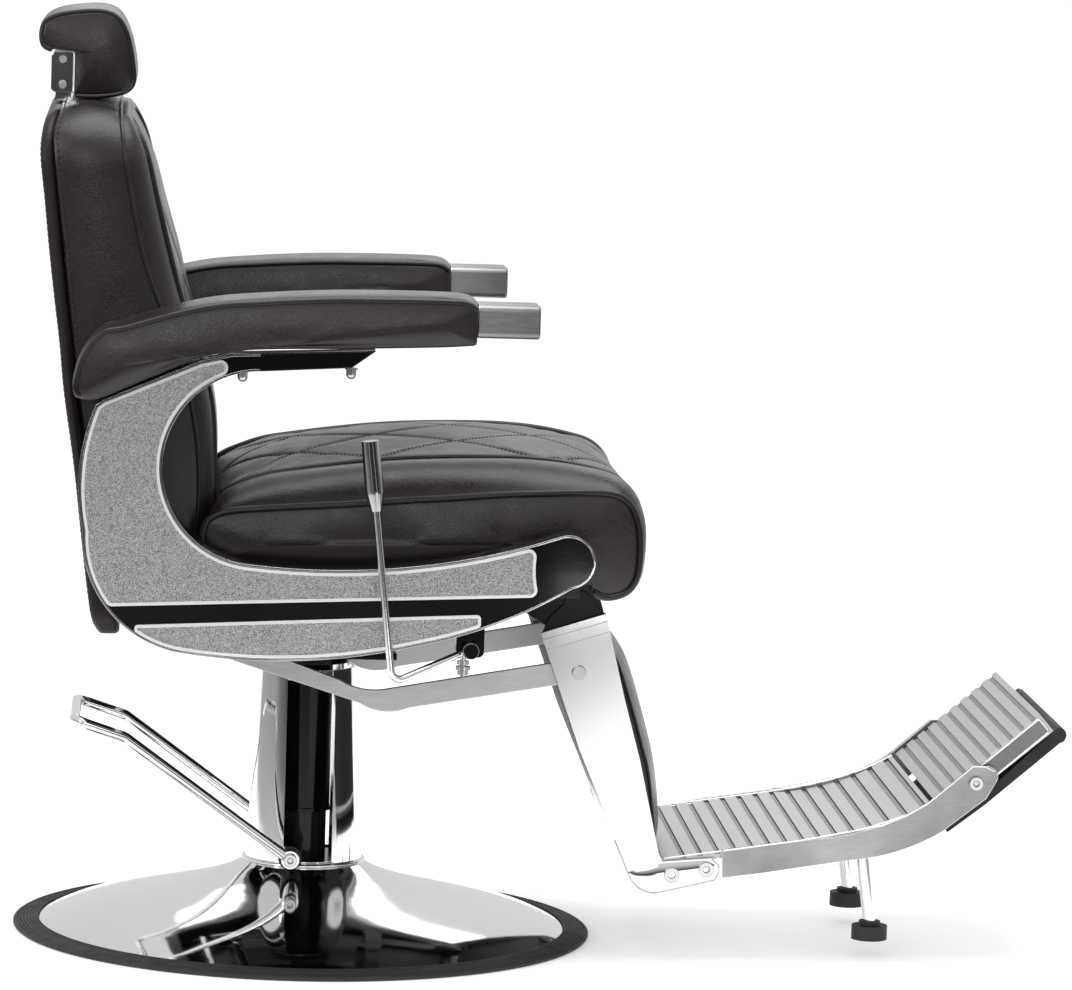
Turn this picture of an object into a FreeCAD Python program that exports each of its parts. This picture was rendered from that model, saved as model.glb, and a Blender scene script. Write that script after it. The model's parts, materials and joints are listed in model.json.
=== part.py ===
import FreeCAD, Part
import math
import os

# Hydraulic barber chair. Millimetres. X points to the front of the chair, Y to the sitter's left
# and Z up. The origin is the centre of the base on the floor. "right" is the sitter's right, -Y.
# Every outline is drawn in the X-Z plane and is extruded along Y.

Vector = FreeCAD.Vector

# ---- Driving dimensions -------------------------------------------------------------------------
RING_R = 325.0             # outside of the rubber floor ring
DISH_R = 297.0             # edge of the chrome dish
DISH_TOP_Z = 79.0
DISH_WALL = 3.0
PUMP_R = 24.5
PUMP_TOP_Z = 290.0
RAM_R = 20.0
SLEEVE_IN_R = 25.3
SLEEVE_OUT_R = 28.0
SLEEVE_BOTTOM_Z = 140.0
SHROUD_BOTTOM_R = 66.0
SHROUD_TOP_R = 52.5
SHROUD_TOP_Z = 300.0
SHROUD_WALL = 2.5
SLOT_X = (-24.0, 30.0)     # vertical windows in the shroud, front and back in Y
FLANGE_Z = (305.0, 318.0)  # plate on top of the ram
PLATE_Z = 320.0            # underside of the seat's swivel plate

FRAME_Z = (380.0, 412.0)   # seat frame rails and cross beams
RAIL_Y = (112.0, 142.0)
BOARD_Z = (412.5, 426.5)
REAR_BEAM_X = (-20.0, 10.0)
FRONT_BEAM_X = (120.0, 150.0)
PANEL_Y = (276.0, 312.0)   # side panel casting, inner and outer face
INLAY_T = 2.0
RIM_T = 3.5
ARM_Y = (245.0, 335.0)

BACK_PIVOT = (-140.0, 426.0)
LEG_PIVOT = (290.0, 395.0)
LINK_FRONT = (292.0, 322.0)
LINK_REAR = (BACK_PIVOT[0] + LINK_FRONT[0] - LEG_PIVOT[0],
             BACK_PIVOT[1] + LINK_FRONT[1] - LEG_PIVOT[1])
LINK_Y = (160.0, 166.0)
LEG_Y = (172.0, 178.0)
BACK_HALF_W = 236.0
BACK_LEAN = (-0.129, 0.9916)   # unit vector up the backrest

CRANK_R = 76.0             # backrest pivot to the recline spring's cross bar
CRANK_START = math.radians(20)
SPRING_Y = 128.0
STRUT_X = (-20.0, 118.0)   # ends of the strut's cylinder
SPRING_Z = BACK_PIVOT[1] - CRANK_R * (1 + math.cos(CRANK_START)) / 2

HEAD_PIVOT = (-290.0, 946.0)
HEAD_HALF_W = 130.0
CHANNEL_HALF_W = 60.0
POST_FOOT = (-284.0, 944.0)    # a point on the headrest bar's centre line
POST_T = 6.0
POST_HALF_W = 20.0

FLIP_PIVOT = (737.0, 208.0)
DECK_HALF_W = 171.0
DECK_RAIL_Y = (171.5, 177.5)
FLIP_HALF_W = 168.0
POST_Y = 105.0

PEDAL_PIVOT = (-17.0, 91.0)
PEDAL_Y = 84.0
PEDAL_ROD_R = 6.0
LEVER_PIVOT = (166.0, 358.0)
LEVER_Y = -330.0
LEVER_ROD_R = 4.0
FIT = 0.05                 # radial running clearance of a pin in its bore


# ---- Helpers ------------------------------------------------------------------------------------
def at(point, y=0.0):
    return Vector(point[0], y, point[1])


def outline(start, *steps):
    """Closed X-Z wire. A step (x, z) is a line; a step ((x, z), (x, z)) is an arc through the first."""
    edges = []
    here = start
    for step in steps:
        if isinstance(step[0], tuple):
            edges.append(Part.Arc(at(here), at(step[0]), at(step[1])).toShape())
            here = step[1]
        else:
            edges.append(Part.LineSegment(at(here), at(step)).toShape())
            here = step
    if here != start:
        edges.append(Part.LineSegment(at(here), at(start)).toShape())
    return Part.Wire(edges)


def slab(wire, y0, y1):
    face = Part.Face(wire)
    face.translate(Vector(0, y0, 0))
    return face.extrude(Vector(0, y1 - y0, 0))


def pin(point, radius, y0, y1):
    return Part.makeCylinder(radius, y1 - y0, at(point, y0), Vector(0, 1, 0))


def box(x, y, z):
    return Part.makeBox(x[1] - x[0], y[1] - y[0], z[1] - z[0], Vector(x[0], y[0], z[0]))


def tube(r_in, r_out, z0, z1):
    outer = Part.makeCylinder(r_out, z1 - z0, Vector(0, 0, z0))
    return outer.cut(Part.makeCylinder(r_in, z1 - z0, Vector(0, 0, z0)))


def turned(points):
    """Solid of revolution about Z from a closed list of (r, z) points."""
    wire = Part.makePolygon([Vector(r, 0, z) for r, z in points + points[:1]])
    return Part.Face(wire).revolve(Vector(0, 0, 0), Vector(0, 0, 1), 360)


def other_side(shape):
    return shape.mirror(Vector(0, 0, 0), Vector(0, 1, 0))


def both(shape):
    return Part.Compound([shape, other_side(shape)])


def shifted(point, direction, distance):
    return (point[0] + direction[0] * distance, point[1] + direction[1] * distance)


def bent_rod(points, radius, bend):
    """Round rod through 3-D points, with a tangent arc of the given radius at each inner point."""
    points = [Vector(*p) for p in points]
    edges = []
    here = points[0]
    for before, corner, after in zip(points, points[1:], points[2:]):
        back = (before - corner).normalize()
        ahead = (after - corner).normalize()
        half = back.getAngle(ahead) / 2
        cut = bend / math.tan(half)
        middle = corner + (back + ahead).normalize() * (bend / math.sin(half) - bend)
        start = corner + back * cut
        end = corner + ahead * cut
        edges.append(Part.LineSegment(here, start).toShape())
        edges.append(Part.Arc(start, middle, end).toShape())
        here = end
    edges.append(Part.LineSegment(here, points[-1]).toShape())
    path = Part.Wire(edges)
    circle = Part.Wire(Part.makeCircle(radius, points[0], points[1] - points[0]))
    return path.makePipeShell([circle], True, False)


def save(name, shape):
    shape.exportStep("parts/" + name + ".step")


# ---- Base, column and pump ----------------------------------------------------------------------
def base_ring():
    """Rubber ring with fine concentric steps, and a ledge inside that carries the dish."""
    ribs = 7
    inner_top = (299.0, 9.0)
    outer_top = (RING_R - 1.5, 4.5)
    groove = 0.9
    points = [(286, 0), (RING_R - 1.5, 0), (RING_R, 1.5), (RING_R, 3.5)]
    run = (inner_top[0] - outer_top[0]) / ribs
    rise = (inner_top[1] - outer_top[1]) / ribs
    for i in range(ribs):
        r = outer_top[0] + run * i
        z = outer_top[1] + rise * i
        points += [(r, z), (r + run + groove, z + rise), (r + run + groove, z + rise - groove),
                   (r + run, z + rise - groove)]
    points += [(inner_top[0], 9.0), (297.2, 9.0), (297.2, 4.0), (286, 4.0)]
    return turned(points)


def base_dish():
    """Spun sheet dish: a shallow cone that flares up into the column."""
    profile = [(DISH_R, 7), (260, 22), (200, 38.5), (150, 50), (110, 60.5), (84, 70), (68, DISH_TOP_Z)]
    top = Part.BSplineCurve()
    top.interpolate([Vector(r, 0, z) for r, z in profile])
    below = Part.BSplineCurve()
    below.interpolate([Vector(r - 0.4, 0, z - DISH_WALL) for r, z in profile])
    corners = [below.EndPoint, Vector(46, 0, DISH_TOP_Z - DISH_WALL), Vector(46, 0, DISH_TOP_Z), top.EndPoint]
    edges = [top.toShape(), below.toShape(), Part.LineSegment(below.StartPoint, top.StartPoint).toShape()]
    edges += [Part.LineSegment(a, b).toShape() for a, b in zip(corners, corners[1:])]
    face = Part.Face(Part.Wire(Part.__sortEdges__(edges)))
    return face.revolve(Vector(0, 0, 0), Vector(0, 0, 1), 360)


def pump_cylinder():
    floor_z = 6.0
    body = Part.makeCylinder(PUMP_R, PUMP_TOP_Z - floor_z, Vector(0, 0, floor_z))
    bore_depth = PUMP_TOP_Z - 30
    return body.cut(Part.makeCylinder(RAM_R + 1, bore_depth, Vector(0, 0, 30)))


def column_shroud():
    outer = Part.makeCone(SHROUD_BOTTOM_R, SHROUD_TOP_R, SHROUD_TOP_Z - DISH_TOP_Z, Vector(0, 0, DISH_TOP_Z))
    inner = Part.makeCone(SHROUD_BOTTOM_R - SHROUD_WALL, SHROUD_TOP_R - SHROUD_WALL,
                          SHROUD_TOP_Z - DISH_TOP_Z, Vector(0, 0, DISH_TOP_Z))
    foot = turned([(62, DISH_TOP_Z), (69, DISH_TOP_Z), (69.8, DISH_TOP_Z + 1.5), (69, DISH_TOP_Z + 3),
                   (65, DISH_TOP_Z + 4), (62, DISH_TOP_Z + 4)])
    window = box(SLOT_X, (-80, 80), (DISH_TOP_Z + 6, SHROUD_TOP_Z - 12))
    return outer.fuse(foot).cut(inner).cut(window)


def pedal_lugs():
    """Black lugs that reach out of the pump through the shroud's windows and carry the pedal."""
    eye = pin(PEDAL_PIVOT, 13, 69, 77)
    arm = box((-20, -4), (15, 71), (86, 98))
    arm = arm.cut(Part.makeCylinder(PUMP_R + FIT, 40, Vector(0, 0, 70)))
    return both(eye.fuse(arm).cut(pin(PEDAL_PIVOT, 4, 60, 80)))


def pedal_bolts():
    shank = pin(PEDAL_PIVOT, 4, 70, 91)
    head = pin(PEDAL_PIVOT, 7.5, 90.5, 95)
    socket = pin(PEDAL_PIVOT, 3, 92.5, 96)
    return both(shank.fuse(head).cut(socket))


def pedal_bar():
    """Bent rod: two side arms joined by the foot bar at the rear, with an eye at each pivot."""
    pivot = (PEDAL_PIVOT[0], PEDAL_PIVOT[1])
    knee = (-204, 225)
    toe = (-260, 243)
    points = [at(pivot, -PEDAL_Y), at(knee, -PEDAL_Y), at(toe, -PEDAL_Y), at(toe, PEDAL_Y),
              at(knee, PEDAL_Y), at(pivot, PEDAL_Y)]
    bar = bent_rod(points, PEDAL_ROD_R, 16)
    bore = pin(pivot, 4 + FIT, -100, 100)
    for side in (-PEDAL_Y, PEDAL_Y):
        bar = bar.fuse(pin(pivot, 10, side - 5, side + 5))
    return bar.cut(bore)


# ---- Lift ---------------------------------------------------------------------------------------
def ram():
    return Part.makeCylinder(RAM_R, FLANGE_Z[0] - 60, Vector(0, 0, 60))


def top_flange():
    plate = Part.makeCylinder(48, FLANGE_Z[1] - FLANGE_Z[0], Vector(0, 0, FLANGE_Z[0]))
    spigot = Part.makeCylinder(14, 20, Vector(0, 0, FLANGE_Z[1] - 1))
    return plate.fuse(spigot)


# ---- Seat frame and body ------------------------------------------------------------------------
def swivel_plate():
    """Plate on the bearing with two flanged walls that carry the seat's rails."""
    hub = Part.makeCylinder(14 + FIT, 30, Vector(0, 0, PLATE_Z - 5))
    plate = box((-95, 95), (-100, 100), (PLATE_Z, PLATE_Z + 8)).cut(hub)
    wall = box((-80, 80), (80, 86), (PLATE_Z + 8, FRAME_Z[0]))
    flange = box((-80, 80), (74, RAIL_Y[1]), (FRAME_Z[0] - 4, FRAME_Z[0]))
    bracket = wall.fuse(flange).removeSplitter()
    return Part.makeCompound([plate, bracket, other_side(bracket)])


def seat_frame():
    rails = [box((-100, 150), (y0, y0 + 30), FRAME_Z) for y0 in (-RAIL_Y[1], RAIL_Y[0])]
    beams = [box(x, (-PANEL_Y[0], PANEL_Y[0]), FRAME_Z) for x in (REAR_BEAM_X, FRONT_BEAM_X)]
    return rails[0].fuse([rails[1]] + beams)


def back_ears():
    """Plates from the rear beam back to the backrest's hinge."""
    x, z = BACK_PIVOT
    r = 14
    low, high = FRAME_Z[0], FRAME_Z[1] - 1
    wire = outline((-20, low), (-20, high), (-117, high), (x + 12, z + 7), ((x, z + r), (x - r, z)),
                   (x - 10, z - 12), (-90, low))
    plate = slab(wire, 176, 184).cut(pin(BACK_PIVOT, 6, 170, 190))
    return both(plate)


def leg_hubs():
    """Black brackets from the front beam forward to the leg rest's hinge."""
    x, z = LEG_PIVOT
    wire = outline((150, 386), (150, 410), (300, 410), ((312, 404), (318, 389)), ((302, 374), (280, 368)),
                   (252, 372), (228, 388))
    plate = slab(wire, 160, 168).cut(pin(LEG_PIVOT, 6, 150, 190))
    return both(plate)


def pivot_pins():
    back = pin(BACK_PIVOT, 6, 167, 186)
    leg = pin(LEG_PIVOT, 6, 160, 171)
    lever = pin(LEVER_PIVOT, 5, -290, -254).fuse(pin(LEVER_PIVOT, 8, -293, -290))
    return Part.Compound([back, leg, other_side(back), other_side(leg), lever])


def gas_cylinder():
    """Recline lock: a locking gas strut whose fixed end hangs from the front beam."""
    rear, front = STRUT_X
    body = Part.makeCylinder(10, front - rear, Vector(rear, -SPRING_Y, SPRING_Z), Vector(1, 0, 0))
    bore = Part.makeCylinder(8.1 + FIT, front - rear - 14, Vector(rear, -SPRING_Y, SPRING_Z), Vector(1, 0, 0))
    bracket = box((front - 4, front + 18), (-SPRING_Y - 6, -SPRING_Y + 6), (SPRING_Z - 6, FRAME_Z[0]))
    return body.fuse(bracket).cut(bore)


def gas_rod():
    """Strut rod; its slotted end holds the cross bar with play, in place of a closed pivot."""
    bar_x = BACK_PIVOT[0] - CRANK_R * math.sin(CRANK_START)
    piston_x = STRUT_X[0] + 6
    piston = Part.makeCylinder(8.1, 14, Vector(piston_x, -SPRING_Y, SPRING_Z), Vector(1, 0, 0))
    rod_start = Vector(bar_x + 8, -SPRING_Y, SPRING_Z)
    rod = Part.makeCylinder(4.5, piston_x - bar_x - 8, rod_start, Vector(1, 0, 0))
    eye = box((bar_x - 13, bar_x + 13), (-SPRING_Y - 8, -SPRING_Y + 8), (SPRING_Z - 13, SPRING_Z + 13))
    slot = box((bar_x - 7.5, bar_x + 7.5), (-SPRING_Y - 9, -SPRING_Y + 9), (SPRING_Z - 9.5, SPRING_Z + 9.5))
    return rod.fuse([piston, eye]).cut(slot)


def panel_outline():
    return outline((54, 682), (28, 663), (-67, 657), ((-171, 553), (-75, 450)), ((60, 448), (255, 487)),
                   ((296, 462), (272, 431)), ((174, 384), (110, 366)), ((24, 350), (-148, 352)),
                   ((-218, 388), (-255, 482)), ((-260, 547), (-244, 617)), (-236, 623), (-134, 667),
                   (-100, 675))


def side_panel():
    return slab(panel_outline(), PANEL_Y[0], PANEL_Y[1])


def panel_trim():
    """Bright bead that follows the outer face's edge."""
    whole = Part.Face(panel_outline())
    bead = whole.makeOffset2D(-0.5).cut(whole.makeOffset2D(-2.8))
    bead.translate(Vector(0, PANEL_Y[1], 0))
    return bead.extrude(Vector(0, 2.2, 0))


def rounded_corners(face, radius):
    return face.makeOffset2D(-radius).Faces[0].makeOffset2D(radius)


def inlay_face(region, corner):
    """The part of the panel's face, a little inside its bead, that lies in a region."""
    inside = Part.Face(panel_outline()).makeOffset2D(-3.6)
    return rounded_corners(inside.common(Part.Face(region)).Faces[0], corner)


def upper_inlay():
    region = outline((-300, 398), (236, 421.5), ((231, 452), (238, 490)), (-60, 490), (-60, 560),
                     (-104, 640), (-104, 700), (-300, 700))
    return inlay_face(region, 8.0)


def lower_inlay():
    return inlay_face(outline((-197, 340), (-197, 381.5), (174, 401), (174, 340)), 4.0)


def inlays(faces, rim_width):
    """Hammered plates set a little inside their bright rims."""
    plates = []
    rims = []
    for whole in faces:
        inside = whole.makeOffset2D(-rim_width)
        rim = whole.cut(inside)
        for group, face, height in ((plates, inside, INLAY_T), (rims, rim, RIM_T)):
            face.translate(Vector(0, PANEL_Y[1], 0))
            group.append(face.extrude(Vector(0, height, 0)))
    return both(Part.Compound(plates)), both(Part.Compound(rims))


def seat_cushion():
    wire = outline((-110, 428), (298, 428), (307, 416), (320, 415), ((342, 436), (348, 480)),
                   ((343, 522), (313, 546)), ((170, 563), (-11, 539)), (-110, 508))
    body = slab(wire, -258, 258)
    for side in (1, -1):
        bevel = Part.makePolygon([Vector(-150, side * 190, 580), Vector(-150, side * 190, 560),
                                  Vector(-150, side * 258, 516), Vector(-150, side * 275, 516),
                                  Vector(-150, side * 275, 580), Vector(-150, side * 190, 580)])
        body = body.cut(Part.Face(bevel).extrude(Vector(520, 0, 0)))
    return body


def arm_pad():
    wire = outline((161, 690), (161, 730), ((158, 736), (150, 738)), (40, 739),
                   ((-110, 731), (-220, 702)), ((-250, 690), (-264, 650)), (-267, 624),
                   (-240, 624.5), (-134, 669), (-100, 677), (24, 684.5), (120, 687))
    return slab(wire, ARM_Y[0], ARM_Y[1])


def arm_end():
    block = box((161.5, 228), (259, 321), (699, 735))
    long_edges = [e for e in block.Edges if abs(e.BoundBox.XLength - 66.5) < 0.1]
    block = block.makeFillet(7, long_edges)
    ends = [e for e in block.Edges if e.BoundBox.XLength < 0.01 and e.BoundBox.XMin > 227]
    return block.makeFillet(3, ends)


def arm_screws(panel):
    """Acorn nuts and washers under the arm."""
    screws = []
    for x, z in ((-88, 656.2), (28, 662)):
        washer = Part.makeCylinder(7, 1.5, Vector(x, 296, z - 1.6))
        nut = Part.makeCylinder(5.5, 5, Vector(x, 296, z - 6.6))
        dome = Part.makeSphere(5.5, Vector(x, 296, z - 6.6))
        screws += [washer.fuse([nut, dome]).cut(panel)]
    screws += [other_side(s) for s in screws]
    return Part.Compound(screws)


def lever_bracket():
    wire = outline((150.5, 411), (150.5, 356), ((153, 351), (158, 349)), (174, 349), ((179, 351), (181, 357)),
                   (181, 411))
    return slab(wire, -274, -254).cut(pin(LEVER_PIVOT, 5, -280, -250))


# ---- Backrest and headrest ----------------------------------------------------------------------
def back_board():
    """Upholstered rear board, which hangs below the cushion."""
    wire = outline((-236, 357), ((-247, 361), (-251, 382)), ((-279, 600), (-300, 780)), (-312, 880),
                   (-310, 897), (-285, 900), (-226, 382), ((-228, 362), (-236, 357)))
    return rounded_top(slab(wire, -BACK_HALF_W, BACK_HALF_W))


def back_cushion():
    rear = 1.5
    wire = outline((-232 + rear, 450), ((-160, 448), (-128, 450)), ((-114, 530), (-120, 620)),
                   (-150, 735), (-176, 818), (-200, 890), ((-208, 920), (-222, 927)),
                   (-284, 927), ((-298, 922), (-303, 902)), (-285 + rear, 902))
    body = slab(wire, -BACK_HALF_W, BACK_HALF_W)
    for side in (1, -1):
        bevel = Part.makePolygon([Vector(0, side * 200, 0), Vector(-27, side * 240, 0),
                                  Vector(80, side * 240, 0), Vector(80, side * 200, 0),
                                  Vector(0, side * 200, 0)])
        wedge = Part.Face(bevel).extrude(Vector(BACK_LEAN[0] * 700, 0, BACK_LEAN[1] * 700))
        wedge.translate(Vector(-88, 0, 400))
        body = body.cut(wedge)
    pocket = bar_along_post(POST_HALF_W + 12, POST_T + 9, 690, 960)
    return rounded_top(body).cut(pocket)


def rounded_top(body):
    """Round the backrest's two upper corners, seen from the front."""
    radius = 80.0
    top = 930.0
    corner_z = top - radius
    for side in (1, -1):
        square = box((-340, -100), sorted((side * (BACK_HALF_W - radius), side * (BACK_HALF_W + 9))),
                     (corner_z, top + 9))
        disc = Part.makeCylinder(radius, 240, Vector(-340, side * (BACK_HALF_W - radius), corner_z),
                                 Vector(1, 0, 0))
        body = body.cut(square.cut(disc))
    return body


def bar_along_post(half_width, thickness, z0, z1):
    """Rectangular bar on the headrest bar's sloping centre line, between two heights."""
    def centre(z):
        return shifted(POST_FOOT, BACK_LEAN, (z - POST_FOOT[1]) / BACK_LEAN[1])
    half = thickness / 2
    low, high = centre(z0), centre(z1)
    wire = outline((low[0] - half, low[1]), (high[0] - half, high[1]), (high[0] + half, high[1]),
                   (low[0] + half, low[1]))
    return slab(wire, -half_width, half_width)


def back_brackets(board):
    """Steel lugs on the board: upper eye on the hinge pin, lower eye on the link bar's pin."""
    x, z = BACK_PIVOT
    lx, lz = LINK_REAR
    r = 14
    wire = outline((-240, 388), (-240, 445), (x - 4, z + 13.4), ((x + 9.9, z + 9.9), (x + r, z)),
                   (lx + r, lz), ((lx, lz - r), (lx - 12, lz - 7)), (-180, 372))
    plate = slab(wire, 168, 174)
    plate = plate.cut(pin(BACK_PIVOT, 6 + FIT, 160, 190))
    stub = pin(LINK_REAR, 5, 158, 170)
    return both(plate.fuse(stub).cut(board))


def recline_cross_bar():
    centre = (BACK_PIVOT[0] - CRANK_R * math.sin(CRANK_START),
              BACK_PIVOT[1] - CRANK_R * math.cos(CRANK_START))
    return pin(centre, 6, -167.9, 167.9)


def post_guide():
    sleeve = bar_along_post(POST_HALF_W + 3, POST_T + 6, 780, 924)
    return sleeve.cut(bar_along_post(POST_HALF_W + 0.5, POST_T + 1, 770, 930))


def headrest_post():
    bar = bar_along_post(POST_HALF_W, POST_T, 735, 930)
    foot = box((-299, -279), (-54, 54), (928.5, 932))
    solid = bar.fuse(foot)
    x, z = HEAD_PIVOT
    for y in (-54, 50):
        ear = pin(HEAD_PIVOT, 8, y, y + 4).fuse(box((x - 8, x + 8), (y, y + 4), (930, z)))
        solid = solid.fuse(ear)
    return solid.cut(pin(HEAD_PIVOT, 3 + FIT, -70, 70))


def headrest_cushion():
    wire = outline((-279, 936), (-226, 940), ((-214, 944), (-209, 956)), ((-211, 1000), (-226, 1024)),
                   ((-262, 1032), (-300, 1025)), ((-312, 1018), (-315, 1002)), (-311, 986), (-279, 985))
    return slab(wire, -HEAD_HALF_W, HEAD_HALF_W)


def headrest_channel():
    """Steel channel behind the headrest: a web against the pad and two cheeks for the bolts."""
    low, high = 938.0, 982.0
    web = box((-281, -279.2), (-CHANNEL_HALF_W, CHANNEL_HALF_W), (low, high))
    cheek = outline((-303, low + 3), (-303, high - 4), (-299, high), (-279.2, high),
                    (-279.2, low), (-300, low))
    solid = web
    for y in (-CHANNEL_HALF_W, CHANNEL_HALF_W - 4):
        solid = solid.fuse(slab(cheek, y, y + 4))
    return solid.cut(pin(HEAD_PIVOT, 3, -70, 70))


def headrest_bolts():
    bolts = []
    for point, inner in ((HEAD_PIVOT, 48), ((-290, 974), CHANNEL_HALF_W)):
        shank = pin(point, 3, inner, CHANNEL_HALF_W + 1)
        head = pin(point, 5, CHANNEL_HALF_W, CHANNEL_HALF_W + 3)
        bolts += [shank.fuse(head)]
    bolts += [other_side(b) for b in bolts]
    return Part.Compound(bolts)


# ---- Leg rest and footrest ----------------------------------------------------------------------
def leg_plate():
    wire = outline((249, 365), (320, 388), (324, 371), (344, 292), (363, 225), (376, 170), (389, 113),
                   (446, 118), ((455, 108), (450, 94)), (385, 79), ((366, 83), (352, 97)), (338, 136),
                   (320, 180), (296, 235))
    plate = slab(wire, LEG_Y[0], LEG_Y[1])
    step = outline((249, 365), (320, 388), (323, 375), (253, 352))
    band = slab(step, LEG_Y[1] - 1, LEG_Y[1] + 2)
    return plate.fuse(band).cut(pin(LINK_FRONT, 5, 160, 185))


def leg_lugs():
    """Black inner lugs that carry the leg plates on their hinge pins."""
    x, z = LEG_PIVOT
    wire = outline((262, 352), (x - 16, z), ((x, z + 14), (x + 16, z)), (318, 352))
    return both(slab(wire, 168.5, 171.9).cut(pin(LEG_PIVOT, 6 + FIT, 160, 180)))


def calf_board():
    """Board between the leg plates, narrower at the top to let the link bars pass."""
    wire = outline((296, 338), (302, 340), (354, 126), (348, 124))
    board = slab(wire, -171.9, 171.9)
    corner = box((280, 330), (157, 172), (300, 345))
    return board.cut([corner, other_side(corner)])


def calf_pad():
    wire = outline((303, 338), (328, 350), (337, 346), ((373, 236), (393, 132)), (386, 128), (355, 126))
    return slab(wire, -164, 164)


def toe_cross_tube():
    """Tube across the leg plates' heels, under the platform's rear edge."""
    return pin((371, 100), 11, -171.9, 171.9)


DECK_TOP = ((393, 115), (545, 138), (633, 156), (688, 184))


def deck_wire(drop_top, drop_bottom):
    """Strip that follows the deck's top at two depths below it."""
    upper = [(x + drop_top * 0.2, z - drop_top) for x, z in DECK_TOP]
    lower = [(x + drop_bottom * 0.2, z - drop_bottom) for x, z in DECK_TOP]
    start, rest = upper[0], upper[1:]
    return outline(start, rest[0], (rest[1], rest[2]), lower[3], (lower[2], lower[1]), lower[0])


def footrest_deck():
    """Cast platform with raised ribs across it."""
    deck = slab(deck_wire(2.2, 7), -DECK_HALF_W, DECK_HALF_W)
    ribbed = slab(deck_wire(0, 2.5), -DECK_HALF_W, DECK_HALF_W)
    pitch, groove = 19.0, 5.5
    grooves = []
    x = DECK_TOP[0][0] + pitch
    while x < DECK_TOP[3][0] - groove:
        grooves.append(box((x, x + groove), (-DECK_HALF_W, DECK_HALF_W), (90, 200)))
        x += pitch
    return deck.fuse(ribbed.cut(grooves))


def footrest_rails():
    """Side rails of the platform, each ending in the ear that carries the folding plate."""
    x, z = FLIP_PIVOT
    wire = outline((457, 127), (545, 140.5), ((633, 158.5), (684, 184)), (714, 210), (733, 227), (747, 227),
                   ((758, 224), (760, 211)), (749, 191), (700, 152), ((656, 131), (601, 119)), (500, 102),
                   (458, 96))
    return both(slab(wire, DECK_RAIL_Y[0], DECK_RAIL_Y[1]).cut(pin(FLIP_PIVOT, 5, 160, 180)))


def toe_bolts():
    bolts = []
    for point in ((402, 99), (440, 106)):
        head = pin(point, 8.5, LEG_Y[1], LEG_Y[1] + 4)
        bolts.append(head.cut(pin(point, 3.5, LEG_Y[1] + 1.5, LEG_Y[1] + 5)))
    link_head = pin(LINK_FRONT, 8, LEG_Y[1], LEG_Y[1] + 3)
    bolts.append(link_head.fuse(pin(LINK_FRONT, 5, 158, LEG_Y[1] + 1)))
    bolts += [other_side(b) for b in bolts]
    return Part.Compound(bolts)


def foot_posts():
    down = (0.14, -0.99)
    posts = []
    for y in (-POST_Y, POST_Y):
        low = at(shifted((618, 144.5), down, 112), y)
        high = at((618, 144.5), y)
        posts.append(Part.makeCylinder(7, (high - low).Length, low, high - low))
    flange = outline((597, 137), (597, 141), (642, 150), (642, 146))
    posts = [p.fuse(slab(flange, y - 22, y + 22)) for p, y in zip(posts, (-POST_Y, POST_Y))]
    trim = slab(deck_wire(-30, 7), -200, 200)
    return Part.Compound([p.cut(trim) for p in posts])


def foot_pads(posts):
    pads = []
    for y in (-POST_Y, POST_Y):
        pad = Part.makeCylinder(20, 16, Vector(633.5, y, 18))
        collar = Part.makeCylinder(12, 5, Vector(633.5, y, 34))
        pads.append(pad.fuse(collar).cut(posts))
    return Part.Compound(pads)


def link_bar():
    """Flat bar bent below the seat, from the backrest's lug to the leg plate."""
    rx, rz = LINK_REAR
    fx, fz = LINK_FRONT
    wire = outline((rx - 13, rz + 2), ((rx - 2, rz + 14), (rx + 8, rz + 11)), (29, 307),
                   ((55, 297), (79, 297)), (fx - 4, fz + 13), ((fx + 13, fz), (fx + 2, fz - 12)),
                   (107, 277), ((80, 272), (52, 281)), (rx + 2, rz - 13),
                   ((rx - 10, rz - 9), (rx - 13, rz + 2)))
    eye_clearance = 1.0
    bar = slab(wire, LINK_Y[0], LINK_Y[1])
    return bar.cut(pin(LINK_FRONT, 5 + FIT, 150, 180)).cut(pin(LINK_REAR, 5 + eye_clearance, 150, 180))


def flip_plate():
    """Folding toe plate with ribs across it."""
    low, high = (692, 187), (806, 286)
    along = ((high[0] - low[0]) / 151.0, (high[1] - low[1]) / 151.0)
    down = (along[1], -along[0])
    length, thick, rib_t, pitch, groove = 151.0, 23.0, 2.0, 16.0, 5.5
    a, b = shifted(low, down, rib_t), shifted(high, down, rib_t)
    c, d = shifted(high, down, thick + rib_t), shifted(low, down, thick)
    plate = slab(outline(a, b, c, d), -FLIP_HALF_W, FLIP_HALF_W)
    under = slab(outline(shifted(a, down, 5), shifted(shifted(b, along, -8), down, 5),
                         shifted(shifted(c, along, -8), down, 9), shifted(d, down, 9)),
                 -FLIP_HALF_W + 6, FLIP_HALF_W - 6)
    plate = plate.cut(under)
    run = 0.0
    while run < length - groove:
        end = min(run + pitch - groove, length)
        p, q = shifted(low, along, run), shifted(low, along, end)
        rib = outline(p, q, shifted(q, down, rib_t + 1), shifted(p, down, rib_t + 1))
        plate = plate.fuse(slab(rib, -FLIP_HALF_W, FLIP_HALF_W))
        run += pitch
    for side in (-1, 1):
        boss = pin(FLIP_PIVOT, 10, *sorted((side * 145, side * FLIP_HALF_W)))
        plate = plate.fuse(boss)
    return plate.cut(pin(FLIP_PIVOT, 5 + FIT, -200, 200))


def flip_pad():
    """Rubber pad on the plate's back, which meets the floor side."""
    wire = outline((707, 152), (711, 148), (752, 180), (833, 251), ((840, 259), (835, 268)), (830, 269.5))
    return slab(wire, -152, 152)


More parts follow.
